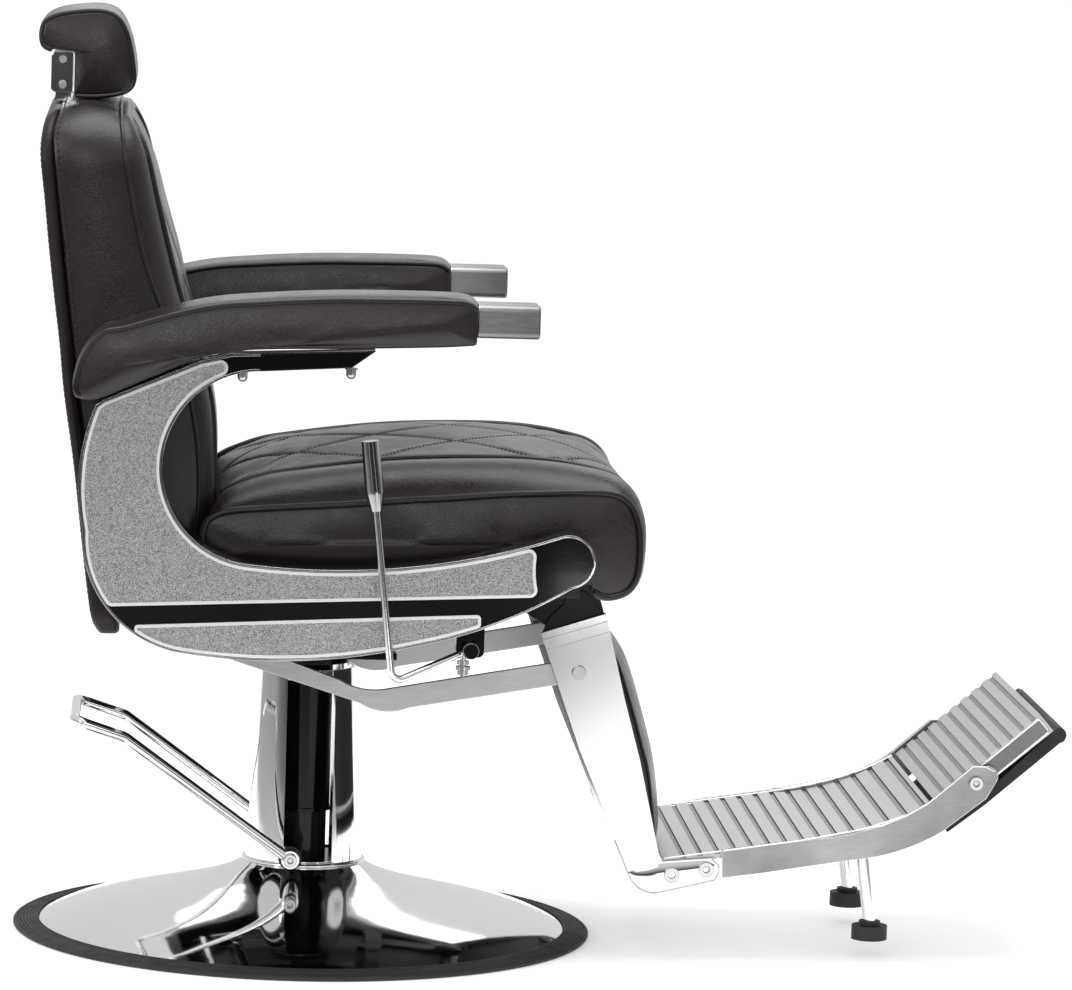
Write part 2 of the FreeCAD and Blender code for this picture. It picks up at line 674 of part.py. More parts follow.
def flip_bolts():
    shank = pin(FLIP_PIVOT, 5, 143, DECK_RAIL_Y[1] + 1)
    head = pin(FLIP_PIVOT, 8, DECK_RAIL_Y[1], DECK_RAIL_Y[1] + 4)
    recess = pin(FLIP_PIVOT, 3, DECK_RAIL_Y[1] + 2, DECK_RAIL_Y[1] + 5)
    return both(shank.fuse(head).cut(recess))


# ---- Recline lever ------------------------------------------------------------------------------
def lever_rod():
    x, z = LEVER_PIVOT
    points = [(x - 6, -281, z - 1.5), (80, LEVER_Y, 327), (57, LEVER_Y, 520)]
    rod = bent_rod(points, LEVER_ROD_R, 12)
    eye = pin(LEVER_PIVOT, 9, -289.5, -275)
    return rod.fuse(eye).cut(pin(LEVER_PIVOT, 5 + FIT, -300, -260))


def lever_grip():
    low, high = Vector(57, LEVER_Y, 520), Vector(49, LEVER_Y, 588)
    axis = (high - low).normalize()
    taper = Part.makeCone(6, 10.5, 20, low - axis * 8, axis)
    handle = Part.makeCone(10.5, 9.5, 56, low + axis * 12, axis)
    bore = Part.makeCylinder(LEVER_ROD_R, 8, low - axis * 8, axis)
    return taper.fuse(handle).cut(bore)


def lever_adjuster(rod):
    """Threaded stop that hangs from the lever's eye."""
    x, y, z = 158.0, -284.0, 352.0
    stud = Part.makeCylinder(3, 25, Vector(x, y, z - 22)).cut(rod)
    nuts = [Part.makeCylinder(r, 4, Vector(x, y, h)) for r, h in ((6.5, z - 9), (8, z - 15), (6, z - 20))]
    return stud.fuse(nuts)


def build():
    os.makedirs("parts", exist_ok=True)
    board = back_board()
    plates, rims = inlays((upper_inlay(), lower_inlay()), 3.2)
    foot_z = 6.0
    save("base_ring", base_ring())
    save("base_dish", base_dish())
    save("pump_foot", Part.makeCylinder(100, foot_z, Vector(0, 0, 0)))
    save("dish_clamp_ring", tube(PUMP_R + FIT, 58, DISH_TOP_Z, DISH_TOP_Z + 4))
    save("pump_cylinder", pump_cylinder())
    save("ram_bush", tube(RAM_R + FIT, RAM_R + 0.95, PUMP_TOP_Z - 25, PUMP_TOP_Z))
    save("column_shroud", column_shroud())
    save("pedal_lugs", pedal_lugs())
    save("pedal_bolts", pedal_bolts())
    save("pedal_bar", pedal_bar())
    save("ram", ram())
    save("ram_sleeve", tube(SLEEVE_IN_R, SLEEVE_OUT_R, SLEEVE_BOTTOM_Z, FLANGE_Z[0]))
    save("sleeve_lip", tube(SLEEVE_IN_R, SLEEVE_OUT_R + 2, SLEEVE_BOTTOM_Z - 4, SLEEVE_BOTTOM_Z))
    save("top_flange", top_flange())
    save("swivel_bearing", tube(15, 45, FLANGE_Z[1], PLATE_Z - 0.3))
    save("swivel_plate", swivel_plate())
    save("seat_frame", seat_frame())
    save("back_ears", back_ears())
    save("leg_hubs", leg_hubs())
    save("pivot_pins", pivot_pins())
    save("gas_cylinder", gas_cylinder())
    save("gas_rod", gas_rod())
    save("seat_board", box((-104, 285), (-245, 245), BOARD_Z))
    save("seat_cushion", seat_cushion())
    save("side_panel_left", side_panel())
    save("side_panel_right", other_side(side_panel()))
    save("panel_trims", both(panel_trim()))
    save("panel_inlays", plates)
    save("inlay_rims", rims)
    save("arm_pad_left", arm_pad())
    save("arm_pad_right", other_side(arm_pad()))
    save("arm_ends", both(arm_end()))
    save("arm_screws", arm_screws(side_panel()))
    save("lever_bracket", lever_bracket())
    save("back_board", board)
    save("back_cushion", back_cushion())
    save("back_brackets", back_brackets(board))
    save("recline_cross_bar", recline_cross_bar())
    save("post_guide", post_guide())
    save("headrest_post", headrest_post())
    save("headrest_cushion", headrest_cushion())
    save("headrest_channel", headrest_channel())
    save("headrest_bolts", headrest_bolts())
    save("leg_plates", both(leg_plate()))
    save("leg_lugs", leg_lugs())
    save("calf_board", calf_board())
    save("calf_pad", calf_pad())
    save("toe_cross_tube", toe_cross_tube())
    save("footrest_deck", footrest_deck())
    save("footrest_rails", footrest_rails())
    save("toe_bolts", toe_bolts())
    posts = foot_posts()
    save("foot_posts", posts)
    save("foot_pads", foot_pads(posts))
    save("link_bars", both(link_bar()))
    save("flip_plate", flip_plate())
    save("flip_pad", flip_pad())
    save("flip_bolts", flip_bolts())
    save("lever_rod", lever_rod())
    save("lever_grip", lever_grip())
    save("lever_adjuster", lever_adjuster(lever_rod()))


build()
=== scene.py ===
import json
import math

import bmesh
import bpy
import numpy as np
from mathutils import Matrix, Vector
from mathutils.bvhtree import BVHTree


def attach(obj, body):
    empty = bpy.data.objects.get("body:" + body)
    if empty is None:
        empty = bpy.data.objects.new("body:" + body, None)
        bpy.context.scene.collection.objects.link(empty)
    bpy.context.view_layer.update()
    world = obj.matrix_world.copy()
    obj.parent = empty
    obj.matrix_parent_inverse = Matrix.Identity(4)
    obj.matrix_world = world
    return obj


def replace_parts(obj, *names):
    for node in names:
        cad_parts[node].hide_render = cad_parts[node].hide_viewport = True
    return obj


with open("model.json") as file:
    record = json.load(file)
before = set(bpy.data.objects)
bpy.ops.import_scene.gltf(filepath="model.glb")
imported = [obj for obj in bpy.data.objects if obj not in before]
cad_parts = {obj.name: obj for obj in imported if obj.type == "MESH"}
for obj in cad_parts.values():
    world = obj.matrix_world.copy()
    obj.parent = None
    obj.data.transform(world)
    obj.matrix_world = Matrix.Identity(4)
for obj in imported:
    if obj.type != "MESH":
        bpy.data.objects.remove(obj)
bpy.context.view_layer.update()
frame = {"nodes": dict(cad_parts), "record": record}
NODES = frame["nodes"]
MM = 0.001
SIDES = ((1, "left"), (-1, "right"))


# ---- Camera, light and floor -------------------------------------------------------------------
def make_camera():
    """A long lens in front of the sitter's right side, a little above the seat."""
    yaw, pitch, roll = (math.radians(a) for a in (3.982, 6.197, 1.832))
    ahead = Vector((math.sin(yaw) * math.cos(pitch), math.cos(yaw) * math.cos(pitch), -math.sin(pitch)))
    level = Vector((math.cos(yaw), -math.sin(yaw), 0))
    upright = level.cross(ahead)
    right = level * math.cos(roll) + upright * math.sin(roll)
    up = upright * math.cos(roll) - level * math.sin(roll)
    data = bpy.data.cameras.new("camera")
    data.sensor_width = 36
    data.lens = 194.8
    data.clip_end = 200
    camera = bpy.data.objects.new("camera", data)
    turn = Matrix((right, up, -ahead)).transposed().to_4x4()
    camera.matrix_world = Matrix.Translation((-0.2002, -6.4796, 1.2031)) @ turn
    bpy.context.scene.collection.objects.link(camera)
    bpy.context.scene.camera = camera


def area_light(name, place, target, size, power):
    data = bpy.data.lights.new(name, "AREA")
    data.shape = "RECTANGLE"
    data.size, data.size_y = size
    data.energy = power
    light = bpy.data.objects.new(name, data)
    light.location = place
    light.rotation_euler = (Vector(target) - Vector(place)).to_track_quat("-Z", "Y").to_euler()
    bpy.context.scene.collection.objects.link(light)


def link_nodes(tree, *pairs):
    for source, target in pairs:
        tree.links.new(source, target)


def math_node(tree, operation, a, b=None, c=None, clamp=False):
    node = tree.nodes.new("ShaderNodeMath")
    node.operation = operation
    node.use_clamp = clamp
    for i, value in enumerate((a, b, c)):
        if value is None:
            continue
        if isinstance(value, (int, float)):
            node.inputs[i].default_value = value
        else:
            tree.links.new(value, node.inputs[i])
    return node.outputs[0]


def make_world():
    """Studio that is dark low in front, with strips, in reflections. The camera sees it white."""
    world = bpy.data.worlds.new("studio")
    bpy.context.scene.world = world
    world.use_nodes = True
    tree = world.node_tree
    background = tree.nodes["Background"]
    coords = tree.nodes.new("ShaderNodeTexCoord")
    split = tree.nodes.new("ShaderNodeSeparateXYZ")
    link_nodes(tree, (coords.outputs["Generated"], split.inputs[0]))
    x, y, z = split.outputs
    front = math_node(tree, "MULTIPLY_ADD", y, -2.4, -0.25, clamp=True)
    low = math_node(tree, "SUBTRACT", 1.0, math_node(tree, "MULTIPLY_ADD", z, 4.5, -0.2, clamp=True))
    level = math_node(tree, "MULTIPLY_ADD", math_node(tree, "MULTIPLY", front, low), -0.93, 1.0)
    strips = ((0.97, 0.02, -0.9), (-0.97, 0.02, -0.9), (0.8, 0.03, -0.85), (-0.8, 0.03, -0.85),
              (0.45, 0.03, 1.2), (-0.4, 0.04, 1.2))
    for centre, half, change in strips:
        off = math_node(tree, "ABSOLUTE", math_node(tree, "SUBTRACT", x, centre))
        inside = math_node(tree, "LESS_THAN", off, half)
        facing = math_node(tree, "LESS_THAN", y, 0.2)
        band = math_node(tree, "MULTIPLY", math_node(tree, "MULTIPLY", inside, facing), low)
        if change < 0:
            level = math_node(tree, "MULTIPLY", level, math_node(tree, "MULTIPLY_ADD", band, change, 1.0))
        else:
            level = math_node(tree, "MULTIPLY_ADD", band, change, level)
    seen = tree.nodes.new("ShaderNodeLightPath").outputs["Is Camera Ray"]
    level = math_node(tree, "MULTIPLY_ADD", seen, math_node(tree, "SUBTRACT", 1.35, level), level)
    join = tree.nodes.new("ShaderNodeCombineXYZ")
    link_nodes(tree, (level, join.inputs[0]), (level, join.inputs[1]), (level, join.inputs[2]))
    link_nodes(tree, (join.outputs[0], background.inputs["Color"]))
    background.inputs["Strength"].default_value = 0.75


def make_floor():
    """White paper sweep that glows a little. In reflections it turns grey beside and before the chair."""
    bpy.ops.mesh.primitive_grid_add(x_subdivisions=8, y_subdivisions=8, size=90, location=(0, 41, -0.0005))
    floor = bpy.context.object
    floor.name = "studio_floor"
    material = bpy.data.materials.new("floor_white")
    material.use_nodes = True
    tree = material.node_tree
    shader = tree.nodes["Principled BSDF"]
    noise = tree.nodes.new("ShaderNodeTexNoise")
    noise.inputs["Scale"].default_value = 1.5
    coords = tree.nodes.new("ShaderNodeTexCoord")
    split = tree.nodes.new("ShaderNodeSeparateXYZ")
    place = coords.outputs["Object"]
    link_nodes(tree, (place, split.inputs[0]), (place, noise.inputs["Vector"]))
    aside = math_node(tree, "MULTIPLY_ADD", split.outputs[0], 3.0, -0.75, clamp=True)
    slope, front_edge = 0.7, 43.3
    aside = math_node(tree, "ADD", aside, slope * front_edge)
    white = math_node(tree, "MULTIPLY_ADD", split.outputs[1], slope, aside, clamp=True)
    shifted = math_node(tree, "SUBTRACT", split.outputs[0], 3.1)
    axis = math_node(tree, "MULTIPLY_ADD", split.outputs[1], -0.07, shifted)
    spread = math_node(tree, "MULTIPLY_ADD", split.outputs[1], -0.12, math_node(tree, "ABSOLUTE", axis))
    outside = math_node(tree, "MULTIPLY", math_node(tree, "SUBTRACT", spread, 6.3), 2.5, clamp=True)
    white = math_node(tree, "MULTIPLY", white, math_node(tree, "MULTIPLY_ADD", outside, -0.7, 1.0))
    white = math_node(tree, "MAXIMUM", white, tree.nodes.new("ShaderNodeLightPath").outputs["Is Camera Ray"])
    grain = math_node(tree, "MULTIPLY_ADD", noise.outputs["Fac"], 0.03, 0.9)
    tone = math_node(tree, "MULTIPLY", grain, math_node(tree, "MULTIPLY_ADD", white, 0.85, 0.15))
    join = tree.nodes.new("ShaderNodeCombineXYZ")
    link_nodes(tree, (tone, join.inputs[0]), (tone, join.inputs[1]), (tone, join.inputs[2]))
    for socket in ("Base Color", "Emission Color"):
        link_nodes(tree, (join.outputs[0], shader.inputs[socket]))
    glow = math_node(tree, "MULTIPLY", white, 0.42)
    link_nodes(tree, (glow, shader.inputs["Emission Strength"]))
    shader.inputs["Roughness"].default_value = 0.65
    shader.inputs["Specular IOR Level"].default_value = 0.2
    floor.data.materials.append(material)


def make_lights():
    area_light("top_soft", (0.2, -0.3, 2.9), (0.1, 0, 0.5), (2.6, 1.8), 48)
    area_light("left_strip", (-2.2, -1.6, 1.6), (-0.2, -0.2, 0.6), (0.5, 1.9), 14)
    area_light("right_card", (1.2, -3.0, 0.055), (0.55, -0.17, 0.2), (1.5, 0.09), 1.2)
    area_light("side_soft", (-0.5, -3.3, 1.45), (-0.1, -0.2, 0.7), (1.6, 0.8), 10)
    area_light("rear_rim", (0.6, 2.6, 2.2), (0, 0, 0.6), (2.4, 1.0), 10)


# ---- Materials ---------------------------------------------------------------------------------
def new_material(name, color, metallic=0.0, roughness=0.5):
    material = bpy.data.materials.new(name)
    material.use_nodes = True
    shader = material.node_tree.nodes["Principled BSDF"]
    shader.inputs["Base Color"].default_value = (*color, 1)
    shader.inputs["Metallic"].default_value = metallic
    shader.inputs["Roughness"].default_value = roughness
    return material, material.node_tree, shader


def noise_of(tree, scale, detail=3.0, stretch=(1, 1, 1)):
    coords = tree.nodes.new("ShaderNodeTexCoord")
    mapping = tree.nodes.new("ShaderNodeMapping")
    mapping.inputs["Scale"].default_value = stretch
    noise = tree.nodes.new("ShaderNodeTexNoise")
    noise.inputs["Scale"].default_value = scale
    noise.inputs["Detail"].default_value = detail
    link_nodes(tree, (coords.outputs["Object"], mapping.inputs[0]))
    link_nodes(tree, (mapping.outputs[0], noise.inputs["Vector"]))
    return noise.outputs["Fac"]


def cells_of(tree, scale, feature="F1"):
    coords = tree.nodes.new("ShaderNodeTexCoord")
    cells = tree.nodes.new("ShaderNodeTexVoronoi")
    cells.feature = feature
    cells.inputs["Scale"].default_value = scale
    link_nodes(tree, (coords.outputs["Object"], cells.inputs["Vector"]))
    return cells.outputs["Distance"]


def ramp_of(tree, value, stops):
    """Colour ramp through (position, colour or level) stops."""
    node = tree.nodes.new("ShaderNodeValToRGB")
    ramp = node.color_ramp
    while len(ramp.elements) < len(stops):
        ramp.elements.new(0.5)
    for element, (position, color) in zip(ramp.elements, stops):
        element.position = position
        element.color = (color, color, color, 1) if isinstance(color, float) else (*color, 1)
    tree.links.new(value, node.inputs[0])
    return node.outputs[0]


def bump_stack(tree, shader, *layers):
    """Layers of (height, distance in metres, strength) one after the other into the normal."""
    normal = None
    for height, distance, strength in layers:
        bump = tree.nodes.new("ShaderNodeBump")
        bump.inputs["Distance"].default_value = distance
        bump.inputs["Strength"].default_value = strength
        tree.links.new(height, bump.inputs["Height"])
        if normal is not None:
            tree.links.new(normal, bump.inputs["Normal"])
        normal = bump.outputs[0]
    tree.links.new(normal, shader.inputs["Normal"])


def worn_edges(tree, color, bright, low=0.52, high=0.62):
    """Lighter colour on the most exposed edges."""
    geometry = tree.nodes.new("ShaderNodeNewGeometry")
    mask = ramp_of(tree, geometry.outputs["Pointiness"], ((low, 0.0), (high, 1.0)))
    mix = tree.nodes.new("ShaderNodeMix")
    mix.data_type = "RGBA"
    for name, socket in (("Factor", mask), ("A", color)):
        target = [s for s in mix.inputs if s.name == name and s.enabled][0]
        tree.links.new(socket, target)
    mix_b = [s for s in mix.inputs if s.name == "B" and s.enabled][0]
    mix_b.default_value = (*bright, 1)
    return [s for s in mix.outputs if s.enabled][0]


def leather(name, dark, light, roughness=0.42, grain=1.0, shine=0.36):
    material, tree, shader = new_material(name, dark, roughness=roughness)
    tone = ramp_of(tree, noise_of(tree, 5.0, 4.0), ((0.3, dark), (0.7, light)))
    edge = tuple(min(1.0, c * 1.25) for c in light)
    tree.links.new(worn_edges(tree, tone, edge, 0.6, 0.75), shader.inputs["Base Color"])
    gloss = ramp_of(tree, noise_of(tree, 38.0, 5.0), ((0.25, roughness - 0.05), (0.75, roughness + 0.07)))
    tree.links.new(gloss, shader.inputs["Roughness"])
    pores = ramp_of(tree, cells_of(tree, 620.0), ((0.0, 0.0), (0.55, 1.0)))
    bump_stack(tree, shader, (noise_of(tree, 22.0, 3.0), 0.0016 * grain, 0.35),
               (noise_of(tree, 240.0, 4.0), 0.0005 * grain, 0.4), (pores, 0.00025 * grain, 0.5))
    shader.inputs["Specular IOR Level"].default_value = shine
    shader.inputs["Sheen Weight"].default_value = 0.02
    shader.inputs["Sheen Roughness"].default_value = 0.4
    return material


def chrome(name, tint=0.8, roughness=0.05, wave=0.0006, wave_scale=5.0, metallic=1.0):
    material, tree, shader = new_material(name, (tint, tint, tint * 1.01), metallic, roughness)
    smooth = max(0.02, roughness - 0.02)
    smear = ramp_of(tree, noise_of(tree, 9.0, 5.0), ((0.3, smooth), (0.75, roughness + 0.05)))
    tree.links.new(smear, shader.inputs["Roughness"])
    tone = ramp_of(tree, noise_of(tree, 3.0, 2.0), ((0.3, tint - 0.03), (0.7, min(0.97, tint + 0.03))))
    tree.links.new(tone, shader.inputs["Base Color"])
    bump_stack(tree, shader, (noise_of(tree, wave_scale, 1.0), wave, 0.25),
               (noise_of(tree, 900.0, 2.0), 0.00002, 0.3))
    return material


def times(tree, a, b):
    node = tree.nodes.new("ShaderNodeVectorMath")
    node.operation = "MULTIPLY"
    link_nodes(tree, (a, node.inputs[0]), (b, node.inputs[1]))
    return node.outputs[0]


def brushed(name, level, roughness, stretch, speckle=0.03, cloud=0.0):
    material, tree, shader = new_material(name, (level, level, level), 1.0, roughness)
    lines = noise_of(tree, 60.0, 6.0, stretch)
    tone = ramp_of(tree, lines, ((0.3, level - speckle), (0.7, level + speckle)))
    tone = times(tree, tone, ramp_of(tree, noise_of(tree, 11.0, 2.0), ((0.35, 1.0 - cloud), (0.65, 1.0))))
    tree.links.new(worn_edges(tree, tone, (0.85, 0.85, 0.86)), shader.inputs["Base Color"])
    rough = ramp_of(tree, lines, ((0.3, roughness - 0.06), (0.7, roughness + 0.08)))
    tree.links.new(rough, shader.inputs["Roughness"])
    bump_stack(tree, shader, (lines, 0.0002, 0.35), (noise_of(tree, 14.0, 2.0), 0.0005, 0.2))
    return material


def cast_metal(name, level, roughness, grain_scale, depth, spread):
    """Fine-grained metal: sand-cast aluminium, or a hammered plate with sparkle, with painted shade darkening
    its hollows.
    """
    material, tree, shader = new_material(name, (level, level, level), 1.0, roughness)
    grains = noise_of(tree, grain_scale, 5.0)
    tone = ramp_of(tree, grains, ((0.36, level - spread), (0.5, level), (0.66, min(0.98, level + spread))))
    # Pointiness darkens the colour in hollows, grooves and inner corners: painted shade.
    geometry = tree.nodes.new("ShaderNodeNewGeometry")
    hollow_painted_shade = ramp_of(tree, geometry.outputs["Pointiness"], ((0.4, 0.25), (0.485, 1.0)))
    link_nodes(tree, (times(tree, tone, hollow_painted_shade), shader.inputs["Base Color"]))
    rough = ramp_of(tree, noise_of(tree, grain_scale * 0.6, 3.0),
                    ((0.3, roughness - 0.1), (0.7, roughness + 0.12)))
    tree.links.new(rough, shader.inputs["Roughness"])
    bump_stack(tree, shader, (noise_of(tree, grain_scale * 0.2, 3.0), depth * 1.6, 0.3),
               (grains, depth, 0.55))
    return material


def gloss_paint(name, color, roughness, coat=1.0, orange_peel=0.0002, shine=0.35):
    material, tree, shader = new_material(name, color, 0.0, roughness)
    paler = tuple(c * 1.5 + 0.002 for c in color)
    tone = ramp_of(tree, noise_of(tree, 8.0, 4.0), ((0.3, color), (0.8, paler)))
    tree.links.new(worn_edges(tree, tone, (0.05, 0.05, 0.052), 0.58, 0.72), shader.inputs["Base Color"])
    smooth = max(0.02, roughness - 0.02)
    rough = ramp_of(tree, noise_of(tree, 18.0, 4.0), ((0.3, smooth), (0.8, roughness + 0.05)))
    tree.links.new(rough, shader.inputs["Roughness"])
    shader.inputs["Coat Weight"].default_value = coat
    shader.inputs["Coat Roughness"].default_value = 0.04
    shader.inputs["Specular IOR Level"].default_value = shine
    bump_stack(tree, shader, (noise_of(tree, 120.0, 2.0), orange_peel, 0.1),
               (noise_of(tree, 6.0, 1.0), 0.0005, 0.08))
    return material


def rubber(name, level, roughness):
    material, tree, shader = new_material(name, (level, level, level * 1.02), 0.0, roughness)
    dust = ramp_of(tree, noise_of(tree, 26.0, 6.0), ((0.35, level), (0.8, level * 1.8)))
    tree.links.new(worn_edges(tree, dust, (0.09, 0.09, 0.092), 0.53, 0.66), shader.inputs["Base Color"])
    rough = ramp_of(tree, noise_of(tree, 70.0, 4.0), ((0.3, roughness - 0.08), (0.8, roughness + 0.1)))
    tree.links.new(rough, shader.inputs["Roughness"])
    bump_stack(tree, shader, (noise_of(tree, 500.0, 4.0), 0.0002, 0.5))
    shader.inputs["Specular IOR Level"].default_value = 0.4
    return material


def plywood(name):
    """Board under thin black paint, with its grain showing through."""
    material, tree, shader = new_material(name, (0.015, 0.015, 0.015), 0.0, 0.6)
    rings = noise_of(tree, 9.0, 8.0, (1, 12, 12))
    tone = ramp_of(tree, rings, ((0.25, (0.01, 0.01, 0.01)), (0.55, (0.017, 0.016, 0.015)),
                                 (0.8, (0.028, 0.026, 0.023))))
    tree.links.new(tone, shader.inputs["Base Color"])
    bump_stack(tree, shader, (rings, 0.0006, 0.5))
    return material


def plain_brass(name):
    material, tree, shader = new_material(name, (0.7, 0.52, 0.24), 1.0, 0.3)
    tone = ramp_of(tree, noise_of(tree, 40.0, 4.0), ((0.3, (0.6, 0.44, 0.2)), (0.7, (0.76, 0.58, 0.3))))
    tree.links.new(tone, shader.inputs["Base Color"])
    bump_stack(tree, shader, (noise_of(tree, 200.0, 2.0), 0.0001, 0.4))
    return material


MATERIALS = {
    "leather": leather("espresso_leather", (0.0108, 0.0064, 0.0058), (0.0168, 0.0105, 0.0095), 0.3,
                       shine=0.52),
    "leather_back": leather("espresso_leather_back", (0.0098, 0.0061, 0.0056), (0.0148, 0.0096, 0.0088), 0.4,
                            shine=0.32),
    "chrome": chrome("polished_chrome"),
    "gloss_black": gloss_paint("gloss_black_shell", (0.0035, 0.0035, 0.0038), 0.05, 0.3),
    "hammered_silver": cast_metal("hammered_silver", 0.37, 0.4, 1400.0, 0.0006, 0.3),
    # The rims are only part metal and near white, so they show as painted highlight lines under any light.
    "bright_rim": chrome("bright_rim", 0.93, 0.2, 0.0002, 40.0, metallic=0.35),
    "satin_steel": brushed("satin_steel", 0.5, 0.36, (1, 10, 10)),
    "cast_aluminium": cast_metal("cast_aluminium", 0.57, 0.4, 900.0, 0.00025, 0.08),
    "rubber": rubber("black_rubber", 0.013, 0.6),
    "black_steel": gloss_paint("black_enamel_steel", (0.0025, 0.0025, 0.0027), 0.14, 0.03, shine=0.2),
    "zinc": chrome("zinc_plate", 0.58, 0.2, 0.0003, 60.0),
    "brass": plain_brass("machined_brass"),
    "grey_nylon": rubber("grey_nylon", 0.2, 0.5),
    "painted_board": plywood("painted_board"),
}
# Dark stitch thread: its own colour, and also painted shade that makes the stitched quilting lines read dark.
THREAD_AND_GROOVE_SHADE = leather("stitch_thread_and_groove_shade", (0.004, 0.003, 0.003), (0.008, 0.006, 0.006), 0.55, 0.4)
# Piping leather much darker than the cover: the seams show as lines of painted shade.
PIPING_SHADE = leather("piping_leather_painted_shade", (0.0042, 0.0027, 0.0025), (0.0075, 0.0048, 0.0045), 0.3, 0.5, shine=0.5)
# Light polished copy of the rail metal: painted highlight on the rail edges, the deck lips and the toe
# plate's bead.
RAIL_RIM_HIGHLIGHT = brushed("polished_rail_painted_highlight", 0.8, 0.2, (1, 8, 8), 0.04)
RAIL_FACE = brushed("brushed_rail", 0.36, 0.3, (1, 8, 8), 0.04, 0.45)
# Dark sheet metal for the toe plate's sides: painted shade of the sunk sides.
SIDE_SHADE = brushed("brushed_side_painted_shade", 0.14, 0.3, (1, 8, 8), 0.02, 0.3)
# Groove floor and groove wall materials, darker than the deck: painted shade in the grooves.
GROOVE_FLOOR_SHADE = cast_metal("cast_groove_painted_shade", 0.34, 0.5, 900.0, 0.00035, 0.16)
GROOVE_WALL_SHADOW = cast_metal("cast_groove_wall_painted_shadow", 0.07, 0.5, 900.0, 0.0002, 0.03)
ARM_STEEL = brushed("arm_end_steel", 0.27, 0.42, (1, 8, 8), 0.03, 0.3)
LEG_CHROME = chrome("leg_chrome", 0.74, 0.06, 0.0009, 4.0)
# Darkened chrome for the rounded edges of bolts and leg plates: painted shade that outlines them.
EDGE_SHADE_CHROME = chrome("chrome_painted_edge_shade", 0.34, 0.12)
# Darkened chrome: painted dark reflection on the lever grip and painted shade lines at the leg plates' folds
# and toe edges.
CHROME_DARK_REFLECTION = chrome("chrome_painted_dark_reflection", 0.42, 0.08)
SLOT_OF = {s["node"]: s["material_slot"] for s in frame["record"]["subparts"]}
BODY_OF = {n: body for body, nodes in frame["record"]["behaviour"]["bodies"].items() for n in nodes}


def paint(obj, material):
    """Sets the first material and leaves the faces' choice of material alone."""
    slots = obj.data.materials
    if len(slots):
        slots[0] = material
    else:
        slots.append(material)


def paint_frame():
    for name, node in NODES.items():
        paint(node, MATERIALS[SLOT_OF[name]])


# ---- Hard pieces -------------------------------------------------------------------------------
def new_object(name, mesh, body, slot, material=None):
    obj = bpy.data.objects.new(name, mesh)
    bpy.context.scene.collection.objects.link(obj)
    paint(obj, material or MATERIALS[slot])
    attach(obj, body)
    return obj


def smooth_by_angle(mesh, degrees):
    """Smooth faces, with every edge sharper than the angle kept sharp."""
    limit = math.radians(degrees)
    work = bmesh.new()
    work.from_mesh(mesh)
    for face in work.faces:
        face.smooth = True
    for edge in work.edges:
        faces = edge.link_faces
        edge.smooth = len(faces) == 2 and faces[0].normal.angle(faces[1].normal, 0) < limit
    work.to_mesh(mesh)
    work.free()


def bevelled(node, width, segments=3, sharp=32, prepare=None, materials=(), flat=True, edge_material=-1):
    """A copy of a CAD node with its hard edges rounded, which stands for the node."""
    work = bmesh.new()
    work.from_mesh(NODES[node].data)
    bmesh.ops.remove_doubles(work, verts=work.verts, dist=2e-6)
    bmesh.ops.dissolve_limit(work, angle_limit=math.radians(0.6), verts=work.verts, edges=work.edges)
    if prepare:
        prepare(work)
    limit = math.radians(sharp)
    edges = [e for e in work.edges if len(e.link_faces) == 2
             and e.link_faces[0].normal.angle(e.link_faces[1].normal, 0) > limit]
    bmesh.ops.bevel(work, geom=edges, offset=width, segments=segments, profile=0.6, affect="EDGES",
                    clamp_overlap=True, harden_normals=False, material=edge_material)
    mesh = bpy.data.meshes.new(node + "_rounded")
    work.to_mesh(mesh)
    work.free()
    smooth_by_angle(mesh, 40)
    first = materials[0] if materials else None
    obj = new_object(node + "_rounded", mesh, BODY_OF[node], SLOT_OF[node], first)
    for extra in materials[1:]:
        mesh.materials.append(extra)
    if flat:
        weighted = obj.modifiers.new("flat_faces_stay_flat", "WEIGHTED_NORMAL")
        weighted.keep_sharp = True
        weighted.weight = 80
    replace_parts(obj, node)
    return obj


def trim_end(work):
    """Ends the panel's bead where the arm carrier begins."""
    start = -0.07
    geom = work.verts[:] + work.edges[:] + work.faces[:]
    bmesh.ops.bisect_plane(work, geom=geom, plane_co=(start, 0, 0.66), plane_no=(1, 0, 0))
    middles = {f: f.calc_center_median() for f in work.faces}
    gone = [f for f in work.faces if middles[f].x > start + 1e-4 and middles[f].z > 0.64]
    bmesh.ops.delete(work, geom=gone, context="FACES")
    bmesh.ops.holes_fill(work, edges=[e for e in work.edges if e.is_boundary])


DECK_POINTS = ((393, 115), (545, 138), (633, 156), (688, 184))
FLIP_LOW, FLIP_HIGH = (692.0, 187.0), (806.0, 286.0)
FLIP_LENGTH = math.hypot(FLIP_HIGH[0] - FLIP_LOW[0], FLIP_HIGH[1] - FLIP_LOW[1])
GROOVE_WIDTH = 5.5
DECK_PITCH, FLIP_PITCH = 19.0, 16.0
LEG_FACE_Y = 178.0


